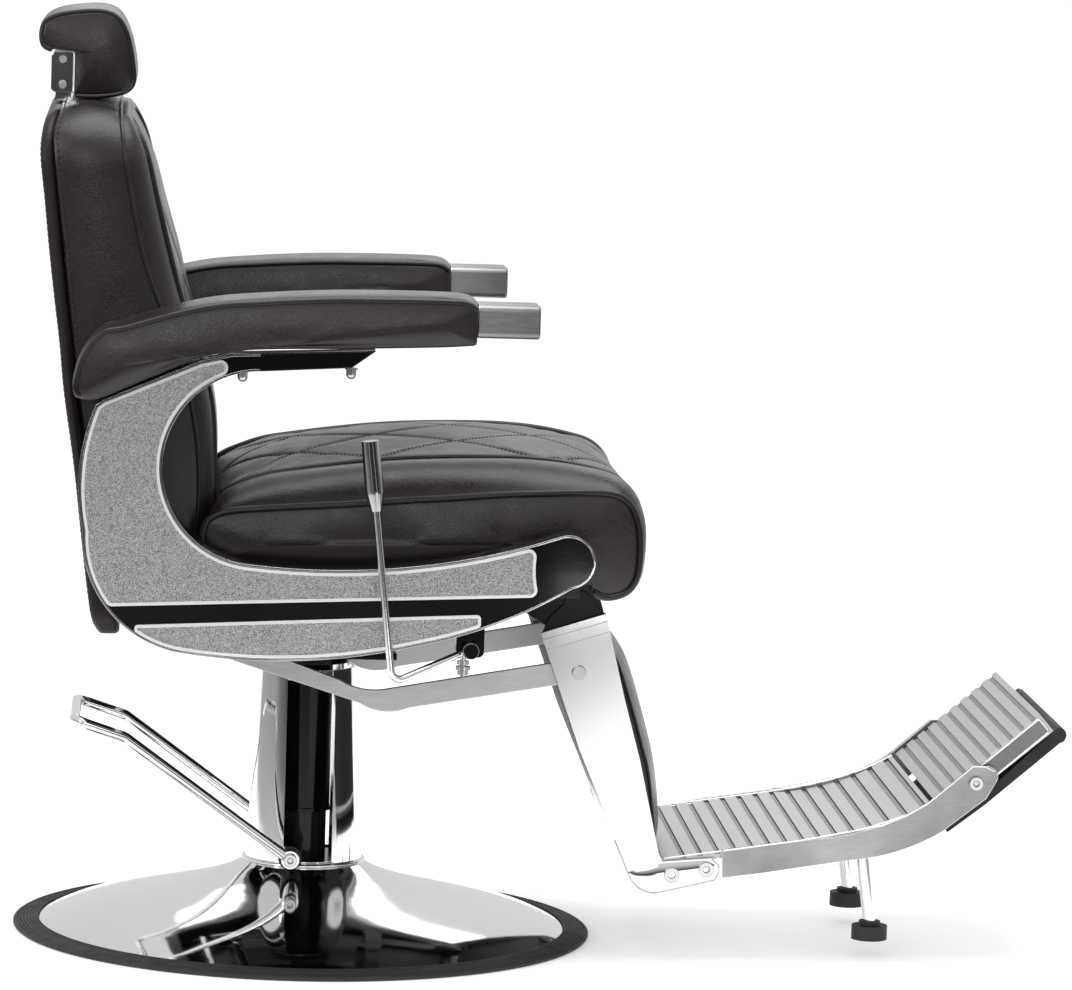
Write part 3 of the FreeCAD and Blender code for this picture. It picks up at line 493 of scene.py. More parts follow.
def groove_shade_marks(work, start, along, pitch, groove, offset):
    """Marks the floors and walls of the grooves, which repeat along a line in (x, z), for the darker
    materials that paint the shade in them.
    """
    margin, half_width = 0.4, 150
    for face in work.faces:
        centre, normal = face.calc_center_median() / MM, face.normal
        run = (centre.x - start[0]) * along[0] + (centre.z - start[1]) * along[1]
        phase = (run - offset) % pitch
        up = normal.z * along[0] - normal.x * along[1]
        if abs(centre.y) > half_width or run < offset - 1:
            continue
        at_wall = phase < margin or abs(phase - groove) < margin or phase > pitch - margin
        # Floors get the mid-grey painted shade, walls the near-black painted shadow.
        if up > 0.7 and margin < phase < groove - margin:
            face.material_index = 1
        elif abs(up) < 0.5 and abs(normal.y) < 0.3 and at_wall:
            face.material_index = 2


def deck_groove_shade(work):
    groove_shade_marks(work, DECK_POINTS[0], (1.0, 0.0), DECK_PITCH, GROOVE_WIDTH, DECK_PITCH)


def flip_groove_shade(work):
    along = [(high - low) / FLIP_LENGTH for low, high in zip(FLIP_LOW, FLIP_HIGH)]
    groove_shade_marks(work, FLIP_LOW, along, FLIP_PITCH, GROOVE_WIDTH, 10.5)


BOLTS = ("arm_screws", "headrest_bolts", "toe_bolts", "flip_bolts", "pedal_bolts")
FINE_EDGES = ("panel_inlays", "lever_adjuster", "headrest_channel", "pedal_bar", "dish_clamp_ring",
              "column_shroud", "sleeve_lip", "foot_pads", "foot_posts", "ram_sleeve")
BROAD_EDGES = ("side_panel_left", "side_panel_right", "link_bars", "flip_pad",
               "lever_bracket", "seat_frame", "swivel_plate", "top_flange", "back_ears", "calf_board",
               "gas_cylinder", "back_brackets", "toe_cross_tube", "seat_board")


def prism(name, outline, low_y, high_y, body, slot, width):
    """Plates cut to an (x, z) outline in mm, one on each side, with rounded edges."""
    work = bmesh.new()
    for side in (1, -1):
        near = [work.verts.new((x * MM, side * low_y * MM, z * MM)) for x, z in outline]
        far = [work.verts.new((x * MM, side * high_y * MM, z * MM)) for x, z in outline]
        work.faces.new(near)
        work.faces.new(far)
        for i in range(len(near)):
            k = (i + 1) % len(near)
            work.faces.new((near[i], near[k], far[k], far[i]))
    bmesh.ops.recalc_face_normals(work, faces=work.faces)
    edges = [e for e in work.edges if e.link_faces[0].normal.angle(e.link_faces[1].normal, 0) > 0.5]
    bmesh.ops.bevel(work, geom=edges, offset=width, segments=3, profile=0.6, affect="EDGES",
                    clamp_overlap=True)
    mesh = bpy.data.meshes.new(name)
    work.to_mesh(mesh)
    work.free()
    smooth_by_angle(mesh, 40)
    obj = new_object(name, mesh, body, slot)
    weighted = obj.modifiers.new("flat_faces_stay_flat", "WEIGHTED_NORMAL")
    weighted.keep_sharp = True
    return obj


def arc(centre, radius, start, end, count=10):
    return [(centre[0] + radius * math.cos(a), centre[1] + radius * math.sin(a))
            for a in np.radians(np.linspace(start, end, count))]


def make_hinge_plates():
    """Black plates at the leg rest's hinge: the seat's bracket, and the lug that turns with the leg."""
    bracket = [(150, 386), (228, 388), (252, 373), (280, 368), (302, 374), (318, 389), (314, 402), (304, 414),
               (296, 426), (150, 426)]
    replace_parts(prism("hinge_brackets", bracket, 160, 168, "seat", "black_steel", 0.0008), "leg_hubs")
    lug = [(253, 353), (251, 366), (256, 379), (268, 392), (273, 396)] + arc((290, 395), 17, 175, 5)
    lug += [(319, 388), (321, 378), (320, 353)]
    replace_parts(prism("hinge_lugs", lug, 168.5, 171.9, "leg_rest", "black_steel", 0.0006), "leg_lugs")


def strip(name, path, radius, body, slot, material, closed=False):
    """Thin bright or dark line in relief, on both sides of the chair: a painted highlight or a painted shade
    line.
    """
    for side, word in SIDES:
        points = respaced([(x, side * y, z) for x, y, z in path], 2.0, closed)
        piece = name + "_" + word
        new_object(piece, tube_mesh(piece, points, radius, closed), body, slot, material)


def make_footrest_trim():
    """Lips beside the ribs, a bead round the toe plate and a line on the rails in light metal as painted
    highlight, a dark sheet as painted shade for the toe plate's sunk sides, dark lines of painted shade at
    the folds and toe edges of the leg plates, and the swollen toes.
    """
    p0, p1, p2, p3 = (np.array(p, float) for p in DECK_POINTS)
    curve = [(1 - t) ** 2 * p1 + 2 * t * (1 - t) * (p2 + (p2 - 0.5 * (p1 + p3)) * 0.5) + t * t * p3
             for t in np.linspace(0, 1, 12)]
    lip = [(x, 169.8, z + 0.1) for x, z in [tuple(p0)] + [tuple(c) for c in curve]]
    strip("deck_lip", lip, 1.1, BODY_OF["footrest_deck"], SLOT_OF["footrest_deck"], RAIL_RIM_HIGHLIGHT)
    low, high = np.array(FLIP_LOW), np.array(FLIP_HIGH)
    along = (high - low) / np.linalg.norm(high - low)
    down = np.array((along[1], -along[0]))
    body, slot = BODY_OF["flip_plate"], SLOT_OF["flip_plate"]
    corners = [low + along * 66 + down * 4.0, high - along * 5.5 + down * 4.0,
               high - along * 4.0 + down * 6.0, high - along * 4.0 + down * 20.5,
               high - along * 6.0 + down * 22.5, low + along * 48 + down * 22.5]
    # A thin dark sheet on each flat side paints the shade of a sunk side.
    side = prism("toe_plate_side_shade", [tuple(c) for c in corners], 167.6, 168.6, body, slot, 0.0003)
    paint(side, SIDE_SHADE)
    strip("toe_plate_bead", [(c[0], 168.2, c[1]) for c in corners], 1.3, body, slot, RAIL_RIM_HIGHLIGHT, closed=True)
    leg, steel = BODY_OF["leg_plates"], SLOT_OF["leg_plates"]
    high_y, low_y = LEG_FACE_Y + 1.9, LEG_FACE_Y + 0.1
    # Dark chrome lines at the folds and along the toe edge: painted shade.
    strip("leg_fold_high", [(252.5, high_y, 358.0), (321.5, high_y, 379.5)], 0.5, leg, steel, CHROME_DARK_REFLECTION)
    strip("leg_fold_low", [(255.5, low_y, 345.5), (323.0, low_y, 367.5)], 0.5, leg, steel, CHROME_DARK_REFLECTION)
    edge = [(338, 136)] + arc((384, 110), 32, 199, 270, 9)[1:]
    edge += [(420, 86.5), (450, 94), (454.5, 103), (454, 110), (446, 117)]
    strip("toe_edge", [(x, LEG_FACE_Y - 0.8, z) for x, z in edge], 1.1, leg, steel, CHROME_DARK_REFLECTION)
    rail = [(458, 126.5), (545, 140), (633, 158), (661, 170), (684, 184), (714, 210), (733, 226.5),
            (747, 226.5), (757, 222)]
    strip("rail_edge", [(x, LEG_FACE_Y - 0.6, z) for x, z in rail], 0.9, BODY_OF["footrest_rails"],
          SLOT_OF["footrest_rails"], RAIL_RIM_HIGHLIGHT)
    toe_pillows(leg, steel)


def toe_pillows(body, slot):
    """The pressed toes of the leg plates swell a little outwards."""
    columns, rows = 46, 16
    xs = np.linspace(354, 451, columns)
    foot = through([(354, 97.5), (360, 90), (369, 84.5), (385, 81.5), (420, 88.5), (451, 97)], 60)
    head = through([(354, 101), (362, 103.5), (374, 106.5), (389, 111), (420, 114), (440, 115.5),
                    (451, 110)], 60)
    low, high = np.interp(xs, foot[:, 0], foot[:, 1]), np.interp(xs, head[:, 0], head[:, 1])
    fade = np.clip(np.minimum(xs - 354, 451 - xs) / 9.0, 0, 1) ** 0.6
    v = np.linspace(0, 1, rows)
    for side, word in SIDES:
        front = []
        for i in range(columns):
            z = low[i] + (high[i] - low[i]) * v
            swell = 0.3 * (high[i] - low[i]) * v * (1 - v) * fade[i]
            front.append(np.stack([np.full(rows, xs[i]), side * (LEG_FACE_Y + 0.03 + swell), z], axis=1))
        front = np.array(front).reshape(-1, 3)
        back = front.copy()
        back[:, 1] = side * (LEG_FACE_Y - 0.4)
        verts = np.vstack([front, back]) * MM
        n = columns * rows
        faces = [(i * rows + j, (i + 1) * rows + j, (i + 1) * rows + j + 1, i * rows + j + 1)
                 for i in range(columns - 1) for j in range(rows - 1)]
        faces += [tuple(k + n for k in reversed(f)) for f in faces]
        rim = [i * rows for i in range(columns)] + [(columns - 1) * rows + j for j in range(1, rows)]
        rim += [i * rows + rows - 1 for i in range(columns - 2, -1, -1)]
        rim += list(range(rows - 2, 0, -1))
        faces += [(a, b, b + n, a + n) for a, b in zip(rim, rim[1:] + rim[:1])]
        mesh = bpy.data.meshes.new("toe_swell_" + word)
        mesh.from_pydata([tuple(p) for p in verts], [], faces)
        work = bmesh.new()
        work.from_mesh(mesh)
        bmesh.ops.recalc_face_normals(work, faces=work.faces)
        work.to_mesh(mesh)
        work.free()
        smooth_by_angle(mesh, 40)
        new_object("toe_swell_" + word, mesh, body, slot, LEG_CHROME)


def round_hard_edges():
    # Rounded edges of the bolts take the darkened chrome: painted shade outlines.
    for node in BOLTS:
        bevelled(node, 0.0008, 2, materials=(MATERIALS[SLOT_OF[node]], EDGE_SHADE_CHROME), edge_material=1)
    for node in FINE_EDGES:
        bevelled(node, 0.0005, 2)
    for node in BROAD_EDGES:
        bevelled(node, 0.0013)
    bevelled("inlay_rims", 0.0014, 4, flat=False)
    bevelled("panel_trims", 0.0014, 4, flat=False, prepare=trim_end)
    # The rails' rounded edges take the light copy: painted highlight.
    bevelled("footrest_rails", 0.0012, 3, materials=(RAIL_FACE, RAIL_RIM_HIGHLIGHT), edge_material=1)
    cast = MATERIALS["cast_aluminium"]
    # The grooves of the deck and the flip plate get the painted shade materials.
    bevelled("footrest_deck", 0.0004, 2, prepare=deck_groove_shade, materials=(cast, GROOVE_FLOOR_SHADE, GROOVE_WALL_SHADOW))
    bevelled("flip_plate", 0.0004, 2, prepare=flip_groove_shade, materials=(cast, GROOVE_FLOOR_SHADE, GROOVE_WALL_SHADOW))
    # The leg plates' rounded edges take the darkened chrome: painted shade outlines.
    bevelled("leg_plates", 0.002, 4, materials=(LEG_CHROME, EDGE_SHADE_CHROME), edge_material=1)
    bevelled("arm_ends", 0.0007, 2, materials=(ARM_STEEL, MATERIALS["zinc"]), edge_material=1)
    # The grip in darkened chrome: painted dark reflection.
    bevelled("lever_grip", 0.0005, 2, materials=(CHROME_DARK_REFLECTION,))
    bevelled("pivot_pins", 0.0005, 2, materials=(MATERIALS["black_steel"],))
    make_hinge_plates()
    make_footrest_trim()


# ---- Soft pieces: shared tools -----------------------------------------------------------------
def through(points, count):
    """An even run of points along a smooth curve through the given ones (n x d array)."""
    p = np.array(points, float)
    p = np.vstack([2 * p[0] - p[1], p, 2 * p[-1] - p[-2]])
    fine = []
    for a, b, c, d in zip(p, p[1:], p[2:], p[3:]):
        for t in np.linspace(0, 1, 16, endpoint=False):
            fine.append(0.5 * (2 * b + (c - a) * t + (2 * a - 5 * b + 4 * c - d) * t ** 2
                               + (3 * b - a - 3 * c + d) * t ** 3))
    fine.append(p[-2])
    fine = np.array(fine)
    run = np.concatenate([[0], np.cumsum(np.linalg.norm(np.diff(fine, axis=0), axis=1))])
    wanted = np.linspace(0, run[-1], count)
    return np.stack([np.interp(wanted, run, fine[:, k]) for k in range(fine.shape[1])], axis=1)


def ring(segments):
    """Closed outline from (points, count) stretches that follow each other, last point of each left out."""
    return np.vstack([through(points, count + 1)[:-1] for points, count in segments])


def stretches(segments):
    """The index range of each stretch of a ring."""
    ends = np.cumsum([0] + [count for _, count in segments])
    return [np.arange(a, b) for a, b in zip(ends, ends[1:])]


def outward(outline):
    """Outward normals of a closed 2-D outline."""
    ahead = np.roll(outline, -1, axis=0) - np.roll(outline, 1, axis=0)
    normal = np.stack([ahead[:, 1], -ahead[:, 0]], axis=1)
    normal /= np.linalg.norm(normal, axis=1)[:, None] + 1e-12
    area = np.sum(outline[:, 0] * np.roll(outline[:, 1], -1) - outline[:, 1] * np.roll(outline[:, 0], -1))
    return normal if area > 0 else -normal


def blur(values, passes):
    for _ in range(passes):
        values = (np.roll(values, 1) + 2 * values + np.roll(values, -1)) / 4
    return values


def ring_mesh(name, loops):
    """Quads between neighbouring closed loops (m x k x 3, in mm)."""
    loops = np.asarray(loops)
    m, k = loops.shape[:2]
    verts = loops.reshape(-1, 3) * MM
    faces = [(i * k + j, i * k + (j + 1) % k, (i + 1) * k + (j + 1) % k, (i + 1) * k + j)
             for i in range(m - 1) for j in range(k)]
    mesh = bpy.data.meshes.new(name)
    mesh.from_pydata([tuple(v) for v in verts], [], faces)
    return mesh


def closed_up(mesh):
    """Merges the collapsed ends, drops empty faces and turns every face outwards."""
    work = bmesh.new()
    work.from_mesh(mesh)
    bmesh.ops.remove_doubles(work, verts=work.verts, dist=0.0004)
    bmesh.ops.dissolve_degenerate(work, dist=0.0001, edges=work.edges)
    loose = [v for v in work.verts if not v.link_faces]
    bmesh.ops.delete(work, geom=loose, context="VERTS")
    bmesh.ops.holes_fill(work, edges=[e for e in work.edges if len(e.link_faces) == 1], sides=0)
    bmesh.ops.recalc_face_normals(work, faces=work.faces)
    for face in work.faces:
        face.smooth = True
    work.to_mesh(mesh)
    work.free()


def coords_of(mesh):
    co = np.zeros(len(mesh.vertices) * 3)
    mesh.vertices.foreach_get("co", co)
    return co.reshape(-1, 3)


def normals_of(mesh):
    n = np.zeros(len(mesh.vertices) * 3)
    mesh.vertices.foreach_get("normal", n)
    return n.reshape(-1, 3)


def inflate(mesh, pinned, cap, pressure=4.0):
    """Cloth with pressure, held at its seams; no point moves further than the cap (mm)."""
    obj = bpy.data.objects.new("inflating", mesh)
    scene = bpy.context.scene
    scene.collection.objects.link(obj)
    group = obj.vertex_groups.new(name="held")
    group.add([int(i) for i in np.nonzero(pinned)[0]], 1.0, "REPLACE")
    cloth = obj.modifiers.new("cloth", "CLOTH").settings
    cloth.quality = 5
    cloth.mass = 0.3
    cloth.tension_stiffness = 12
    cloth.compression_stiffness = 12
    cloth.shear_stiffness = 6
    cloth.bending_stiffness = 0.6
    cloth.use_pressure = True
    cloth.uniform_pressure_force = pressure
    cloth.effector_weights.gravity = 0
    cloth.vertex_group_mass = "held"
    obj.modifiers["cloth"].point_cache.frame_start = 1
    obj.modifiers["cloth"].point_cache.frame_end = 20
    for number in range(1, 21):
        scene.frame_set(number)
    depsgraph = bpy.context.evaluated_depsgraph_get()
    result = coords_of(obj.evaluated_get(depsgraph).to_mesh())
    start = coords_of(mesh)
    move = result - start
    length = np.linalg.norm(move, axis=1)[:, None] + 1e-12
    limit = cap * MM
    move *= np.tanh(length / limit) * limit / length
    obj.modifiers.clear()
    mesh.vertices.foreach_set("co", (start + move).ravel())
    mesh.update()
    scene.frame_set(1)
    bpy.data.objects.remove(obj)


def subdivided(mesh):
    """The mesh after one smooth subdivision."""
    obj = bpy.data.objects.new("dividing", mesh)
    bpy.context.scene.collection.objects.link(obj)
    modifier = obj.modifiers.new("smooth", "SUBSURF")
    modifier.levels = 1
    depsgraph = bpy.context.evaluated_depsgraph_get()
    finer = bpy.data.meshes.new_from_object(obj.evaluated_get(depsgraph))
    bpy.data.objects.remove(obj)
    return finer


def push(mesh, amount):
    """Moves every point along its normal by its own amount (mm)."""
    co = coords_of(mesh) + normals_of(mesh) * np.asarray(amount)[:, None] * MM
    mesh.vertices.foreach_set("co", co.ravel())
    mesh.update()


def frames_along(path, closed):
    """Tangents and a steady pair of side vectors along a path."""
    path = np.asarray(path, float)
    if closed:
        tangent = np.roll(path, -1, axis=0) - np.roll(path, 1, axis=0)
    else:
        tangent = np.gradient(path, axis=0)
    tangent /= np.linalg.norm(tangent, axis=1)[:, None] + 1e-12
    side = np.cross(tangent[0], (0.13, 0.31, 0.94))
    sides = []
    for t in tangent:
        side = side - t * np.dot(side, t)
        side /= np.linalg.norm(side)
        sides.append(side.copy())
    sides = np.array(sides)
    return tangent, sides, np.cross(tangent, sides)


def tube_mesh(name, path, radius, closed=False, sides=10):
    """Round tube along a path (mm), with domed ends where it is open."""
    path = np.asarray(path, float)
    tangent, a, b = frames_along(path, closed)
    radii = np.full(len(path), float(radius))
    if not closed:
        path = np.vstack([path[0] - tangent[0] * radius * 0.7, path, path[-1] + tangent[-1] * radius * 0.7])
        a = np.vstack([a[:1], a, a[-1:]])
        b = np.vstack([b[:1], b, b[-1:]])
        radii = np.concatenate([[radius * 0.45], radii, [radius * 0.45]])
    angles = np.linspace(0, 2 * math.pi, sides, endpoint=False)
    verts = (path[:, None] + radii[:, None, None] * (a[:, None] * np.cos(angles)[None, :, None]
             + b[:, None] * np.sin(angles)[None, :, None])).reshape(-1, 3) * MM
    n = len(path)
    faces = []
    for i in range(n if closed else n - 1):
        for j in range(sides):
            k, m = (j + 1) % sides, ((i + 1) % n) * sides
            faces.append((i * sides + j, i * sides + k, m + k, m + j))
    if not closed:
        faces += [tuple(range(sides))[::-1], tuple(range((n - 1) * sides, n * sides))]
    mesh = bpy.data.meshes.new(name)
    mesh.from_pydata([tuple(v) for v in verts], [], faces)
    work = bmesh.new()
    work.from_mesh(mesh)
    bmesh.ops.recalc_face_normals(work, faces=work.faces)
    for face in work.faces:
        face.smooth = True
    work.to_mesh(mesh)
    work.free()
    return mesh


def surface(mesh):
    work = bmesh.new()
    work.from_mesh(mesh)
    tree = BVHTree.FromBMesh(work)
    work.free()
    return tree


def laid_on(tree, path, lift):
    """The path (mm) moved onto a surface, then out along its normal."""
    out = []
    for p in path:
        place, normal, _, _ = tree.find_nearest(Vector(p) * MM)
        out.append(np.array(place + normal * lift * MM) / MM)
    return np.array(out)


def respaced(path, step, closed=False):
    path = np.asarray(path, float)
    if closed:
        path = np.vstack([path, path[:1]])
    run = np.concatenate([[0], np.cumsum(np.linalg.norm(np.diff(path, axis=0), axis=1))])
    count = max(3, int(run[-1] / step))
    wanted = np.linspace(0, run[-1], count, endpoint=not closed)
    return np.stack([np.interp(wanted, run, path[:, k]) for k in range(3)], axis=1)


def stitches(name, tree, paths, body, length=4.2, gap=1.6, thick=0.55, lift=0.25):
    """Rows of single stitches that lie on a surface, as one piece of thread."""
    verts, faces = [], []
    shape = ((-0.5, 0.3), (-0.25, 0.95), (0.25, 0.95), (0.5, 0.3))
    for path in paths:
        points = respaced(path, (length + gap) / 2)
        for i in range(1, len(points) - 1, 2):
            place, normal, _, _ = tree.find_nearest(Vector(points[i]) * MM)
            if place is None:
                continue
            along = Vector(points[i + 1] - points[i - 1]).normalized()
            side = normal.cross(along).normalized()
            base = len(verts)
            for t, r in shape:
                centre = place + along * t * length * MM + normal * (lift - abs(t) * 0.9) * MM
                for angle in (0.0, 1.257, 2.513, 3.770, 5.027):
                    reach = side * math.cos(angle) + normal * math.sin(angle)
                    verts.append(centre + reach * r * thick * MM)
            for ring_no in range(3):
                for j in range(5):
                    k = (j + 1) % 5
                    a = base + ring_no * 5
                    faces.append((a + j, a + k, a + 5 + k, a + 5 + j))
            faces.append(tuple(base + j for j in range(5))[::-1])
            faces.append(tuple(base + 15 + j for j in range(5)))
    mesh = bpy.data.meshes.new(name)
    mesh.from_pydata([tuple(v) for v in verts], [], faces)
    for polygon in mesh.polygons:
        polygon.use_smooth = True
    return new_object(name, mesh, body, "leather", THREAD_AND_GROOVE_SHADE)


def side_loft(outline_a, outline_b, half, stations, crown, disc_bulge, spine, weight, roll=None, centre=0.0):
    """Loops across Y. outline_a is the middle outline (x, z), outline_b the one at the side seam.

    stations: (offset from the centre, blend 0..1 from a to b) from the middle to the seam.
    """
    n_a = outward(outline_a)
    loops = []
    tags = []
    half_run = []
    for offset, mix in stations:
        base = outline_a * (1 - mix) + outline_b * mix
        grow = crown(offset) * weight
        if roll is not None:
            grow = grow + roll(mix) * weight
        flat = base + n_a * grow[:, None]
        half_run.append((offset, flat))
    last = half_run[-1][1]
    steps = 9
    a, b = (np.array(p, float) for p in spine)
    share = np.clip(((last - a) @ (b - a)) / np.dot(b - a, b - a), 0, 1)
    target = a + share[:, None] * (b - a)
    for i in range(1, steps + 1):
        t = i / steps
        ease = 1 - (1 - t) ** 2
        half_run.append((half + disc_bulge * ease, last * (1 - t) + target * t))
    for side in (-1, 1):
        run = half_run if side == 1 else half_run[::-1][:-1]
        for offset, flat in run:
            y = np.full((len(flat), 1), centre + side * offset)
            loops.append(np.hstack([flat[:, :1], y, flat[:, 1:]]))
            tags.append(side * offset)
    return np.array(loops), np.array(tags)


def piping(name, tree, path, body, radius, lift, closed=False, step=4.0):
    path = respaced(path, step, closed)
    path = laid_on(tree, path, lift)
    for _ in range(2):
        inner = (path[:-2] + 2 * path[1:-1] + path[2:]) / 4
        path = np.vstack([path[:1], inner, path[-1:]])
    return new_object(name, tube_mesh(name, path, radius, closed), body, "leather", PIPING_SHADE)


def held_points(loops, tags, seams, kept, reach=0.5):
    """Marks the points at the side seams and along the kept stretches, which the cloth may not move."""
    held = np.zeros(loops.shape[:2], bool)
    for seam in seams:
        held |= (np.abs(np.abs(tags) - seam) < reach)[:, None]
    held[:, np.concatenate(kept)] = True
    return held


def cushion_mesh(name, loops, held, cap, pressure):
    """Closed cushion from its loops, blown up between the held points and made smoother."""
    mesh = ring_mesh(name, loops)
    lookup = {tuple(np.round(c, 5)) for c in coords_of(mesh)[held.ravel()]}
    closed_up(mesh)
    pinned = np.array([tuple(np.round(c, 5)) in lookup for c in coords_of(mesh)])
    inflate(mesh, pinned, cap, pressure)
    return subdivided(mesh)


def cushion(name, mesh, body, node):
    """A padded leather cover that stands for a CAD cushion. Returns its surface, for seams to lie on."""
    cover = new_object(name, mesh, body, "leather")
    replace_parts(cover, node)
    return surface(mesh)


def end_bead(y, half, rise, power, dip, reach):
    """How far a cushion swells at a distance from its middle, with a small valley at the end seam."""
    across = min(1.0, abs(y) / half)
    return rise * (1 - across ** power) - dip * math.exp(-((abs(y) - half) / reach) ** 2)


def side_pipings(name, tree, seam, half, body, radius, lift, step):
    for side, word in SIDES:
        path = np.array([(p[0], side * half, p[1]) for p in seam])
        piping(name + word, tree, path, body, radius, lift, step=step)


def traced(tree, path, ahead, inside):
    """Points (mm) where rays from a path of (x, y, z) places in metres meet a surface, where wanted."""
    hits = [tree.ray_cast(Vector(place), Vector(ahead))[0] for place in path]
    return [np.array(hit) / MM for hit in hits if hit is not None and inside(hit)]


# ---- Seat --------------------------------------------------------------------------------------
SEAT_TOP = [
    ([(-108, 434), (-110, 470), (-111, 497), (-106, 513)], 14),
    ([(-106, 513), (-86, 525), (-54, 537), (-21, 543), (33, 551), (88, 557), (142, 560), (197, 561),
      (230, 560), (263, 557), (296, 551), (320, 544), (335, 533), (345, 518)], 82),
    ([(345, 518), (351, 500), (353, 478), (351, 456), (347, 436), (336, 421), (319, 415), (306, 416),
      (297, 424)], 30),
    ([(297, 424), (280, 428), (90, 428.5), (-108, 434)], 50),
]
SEAT_LOW = [
    ([(-118, 440), (-125, 455), (-127, 468), (-126, 479), (-121, 490), (-108, 498)], 14),
    ([(-108, 498), (-86, 502), (-22, 507), (32, 511), (86, 516), (140, 520), (194, 525), (248, 528),
      (302, 530), (324, 527), (338, 517)], 82),
    ([(338, 517), (345, 501), (348, 485), (349, 458), (346, 436), (336, 421), (319, 415), (306, 416),
      (297, 424)], 30),
    ([(297, 424), (280, 430), (90, 431), (-118, 440)], 50),
]
QUILT_NODE = (65.0, 0.0)     # a crossing of the quilting lines, and half a diamond's diagonal
QUILT_HALF = 88.0
QUILT_SPAN = (-184, 184)
LEAST_POINTS = 8             # shorter rows of stitches are left out


def quilt_gap(x, y):
    """Distance in mm to the nearest quilting line."""
    gaps = []
    for sign in (1, -1):
        across = (x - QUILT_NODE[0]) + sign * (y - QUILT_NODE[1])
        off = np.abs((across + QUILT_HALF) % (2 * QUILT_HALF) - QUILT_HALF) / math.sqrt(2)
        gaps.append(off)
    return np.minimum(*gaps)


def quilt_rows(x_range, y_range, apart):
    """Pairs of stitch rows along the quilting lines, as (x, y) paths."""
    rows = []
    for sign in (1, -1):
        for number in range(-4, 5):
            for side in (-apart, apart):
                shift = number * 2 * QUILT_HALF + side * math.sqrt(2)
                row = []
                for y in np.arange(y_range[0], y_range[1], 3.0):
                    x = QUILT_NODE[0] + shift - sign * (y - QUILT_NODE[1])
                    if x_range[0] < x < x_range[1]:
                        row.append((x, y))
                if len(row) > LEAST_POINTS:
                    rows.append(np.array(row))
    return rows


def quilt_relief(gap, depth, puff):
    return puff * (1 - np.exp(-(gap / 26) ** 2)) - depth * np.exp(-(gap / 5.5) ** 2)


def make_seat():
    top, low = ring(SEAT_TOP), ring(SEAT_LOW)
    parts = stretches(SEAT_TOP)
    weight = np.zeros(len(top))
    weight[parts[1]] = 1
    weight[parts[2]] = 0.8
    weight[parts[0]] = 0.2
    weight = blur(weight, 6)
    seam_y, side_y = 190.0, 254.0

    def crown(y):
        across = min(1.0, abs(y) / seam_y)
        valley = -3.6 * math.exp(-((abs(y) - seam_y) / 6.0) ** 2)
        low_valley = -3.0 * math.exp(-((abs(y) - side_y) / 5.0) ** 2)
        return 3.5 * (1 - across ** 2.4) + valley + low_valley

    def roll(mix):
        return 8.0 * math.sin(math.pi * mix) ** 0.8 if 0 < mix < 1 else 0.0

    stations = [(y, 0.0) for y in np.linspace(0, seam_y, 32)]
    stations += [(seam_y + (side_y - seam_y) * t + 3.5 * math.sin(math.pi * t), t)
                 for t in np.linspace(0, 1, 13)[1:]]
    loops, tags = side_loft(top, low, side_y, stations, crown, 6.5, ((-62, 464), (285, 472)), weight, roll)
    held = held_points(loops, tags, (seam_y, side_y), [parts[3], parts[0][:8]], 1.0)
    mesh = cushion_mesh("seat_cover", loops, held, 4.5, 3.0)
    c = coords_of(mesh) / MM
    n = normals_of(mesh)
    gap = quilt_gap(c[:, 0], c[:, 1])
    edge = np.clip((seam_y - 6 - np.abs(c[:, 1])) / 14, 0, 1) * np.clip((c[:, 2] - 470) / 30, 0, 1)
    edge *= np.clip((c[:, 0] + 112) / 12, 0, 1) * (n @ np.array([0.5, 0, 1]) > 0.1)
    push(mesh, quilt_relief(gap, 2.4, 1.0) * edge)
    tree = cushion("seat_cover", mesh, "seat", "seat_cushion")
    for side, word in SIDES:
        path = np.array([(p[0], side * seam_y, p[1]) for p in top[np.concatenate(parts[1:3])][:-2]])
        piping("seat_piping_upper_" + word, tree, path, "seat", 3.6, 1.2)
        path = np.array([(p[0], side * side_y, p[1]) for p in low[np.concatenate(parts[0:3])][1:]])
        piping("seat_piping_lower_" + word, tree, path, "seat", 3.8, 1.2)
    rows = []
    for row in quilt_rows((-104, 351), QUILT_SPAN, 3.4):
        places = [(x * MM, y * MM, 0.62) for x, y in row]
        path = traced(tree, places, (0, 0, -1), lambda hit: hit.z > 0.49)
        if len(path) > LEAST_POINTS:
            rows.append(np.array(path))
    stitches("seat_quilt_stitches", tree, rows, "seat", thick=0.8)


# ---- Backrest ----------------------------------------------------------------------------------
BACK_REAR = [(-238, 362), (-245, 382), (-253, 436), (-260, 491), (-267, 546), (-279, 622), (-285, 676),
             (-291, 719), (-298, 773), (-304, 827), (-310, 881), (-306, 915), (-298, 926)]
BACK_SEAM = [(-240, 448), (-247, 491), (-254, 546), (-266, 622), (-272, 668), (-279, 722), (-285, 776),
             (-292, 829), (-299, 885), (-299, 905), (-292, 924)]
BACK_GROOVE = [(-136, 448), (-131, 500), (-133, 560), (-142, 613), (-156, 660), (-176, 714), (-187, 741),
               (-199, 778), (-211, 832), (-220, 885), (-226, 928)]
BACK_PIPE = [(-122, 448), (-116, 500), (-116, 551), (-120, 613), (-136, 668), (-155, 722), (-170, 776),
             (-184, 830), (-198, 884), (-216, 920)]
BACK_FRONT = [(-121, 448), (-114.5, 500), (-113.5, 551), (-117, 613), (-131, 668), (-150, 722), (-163, 774),
              (-177, 818), (-192, 872), (-213, 920)]


BACK_NODE_Z = 655            # height of a crossing of the backrest's quilting lines
BACK_HEM = 456               # below this height the cloth is held, with no welt or border stitches


def x_at(table, z):
    points = through([(b, a) for a, b in table], 200)
    return np.interp(z, points[:, 0], points[:, 1])


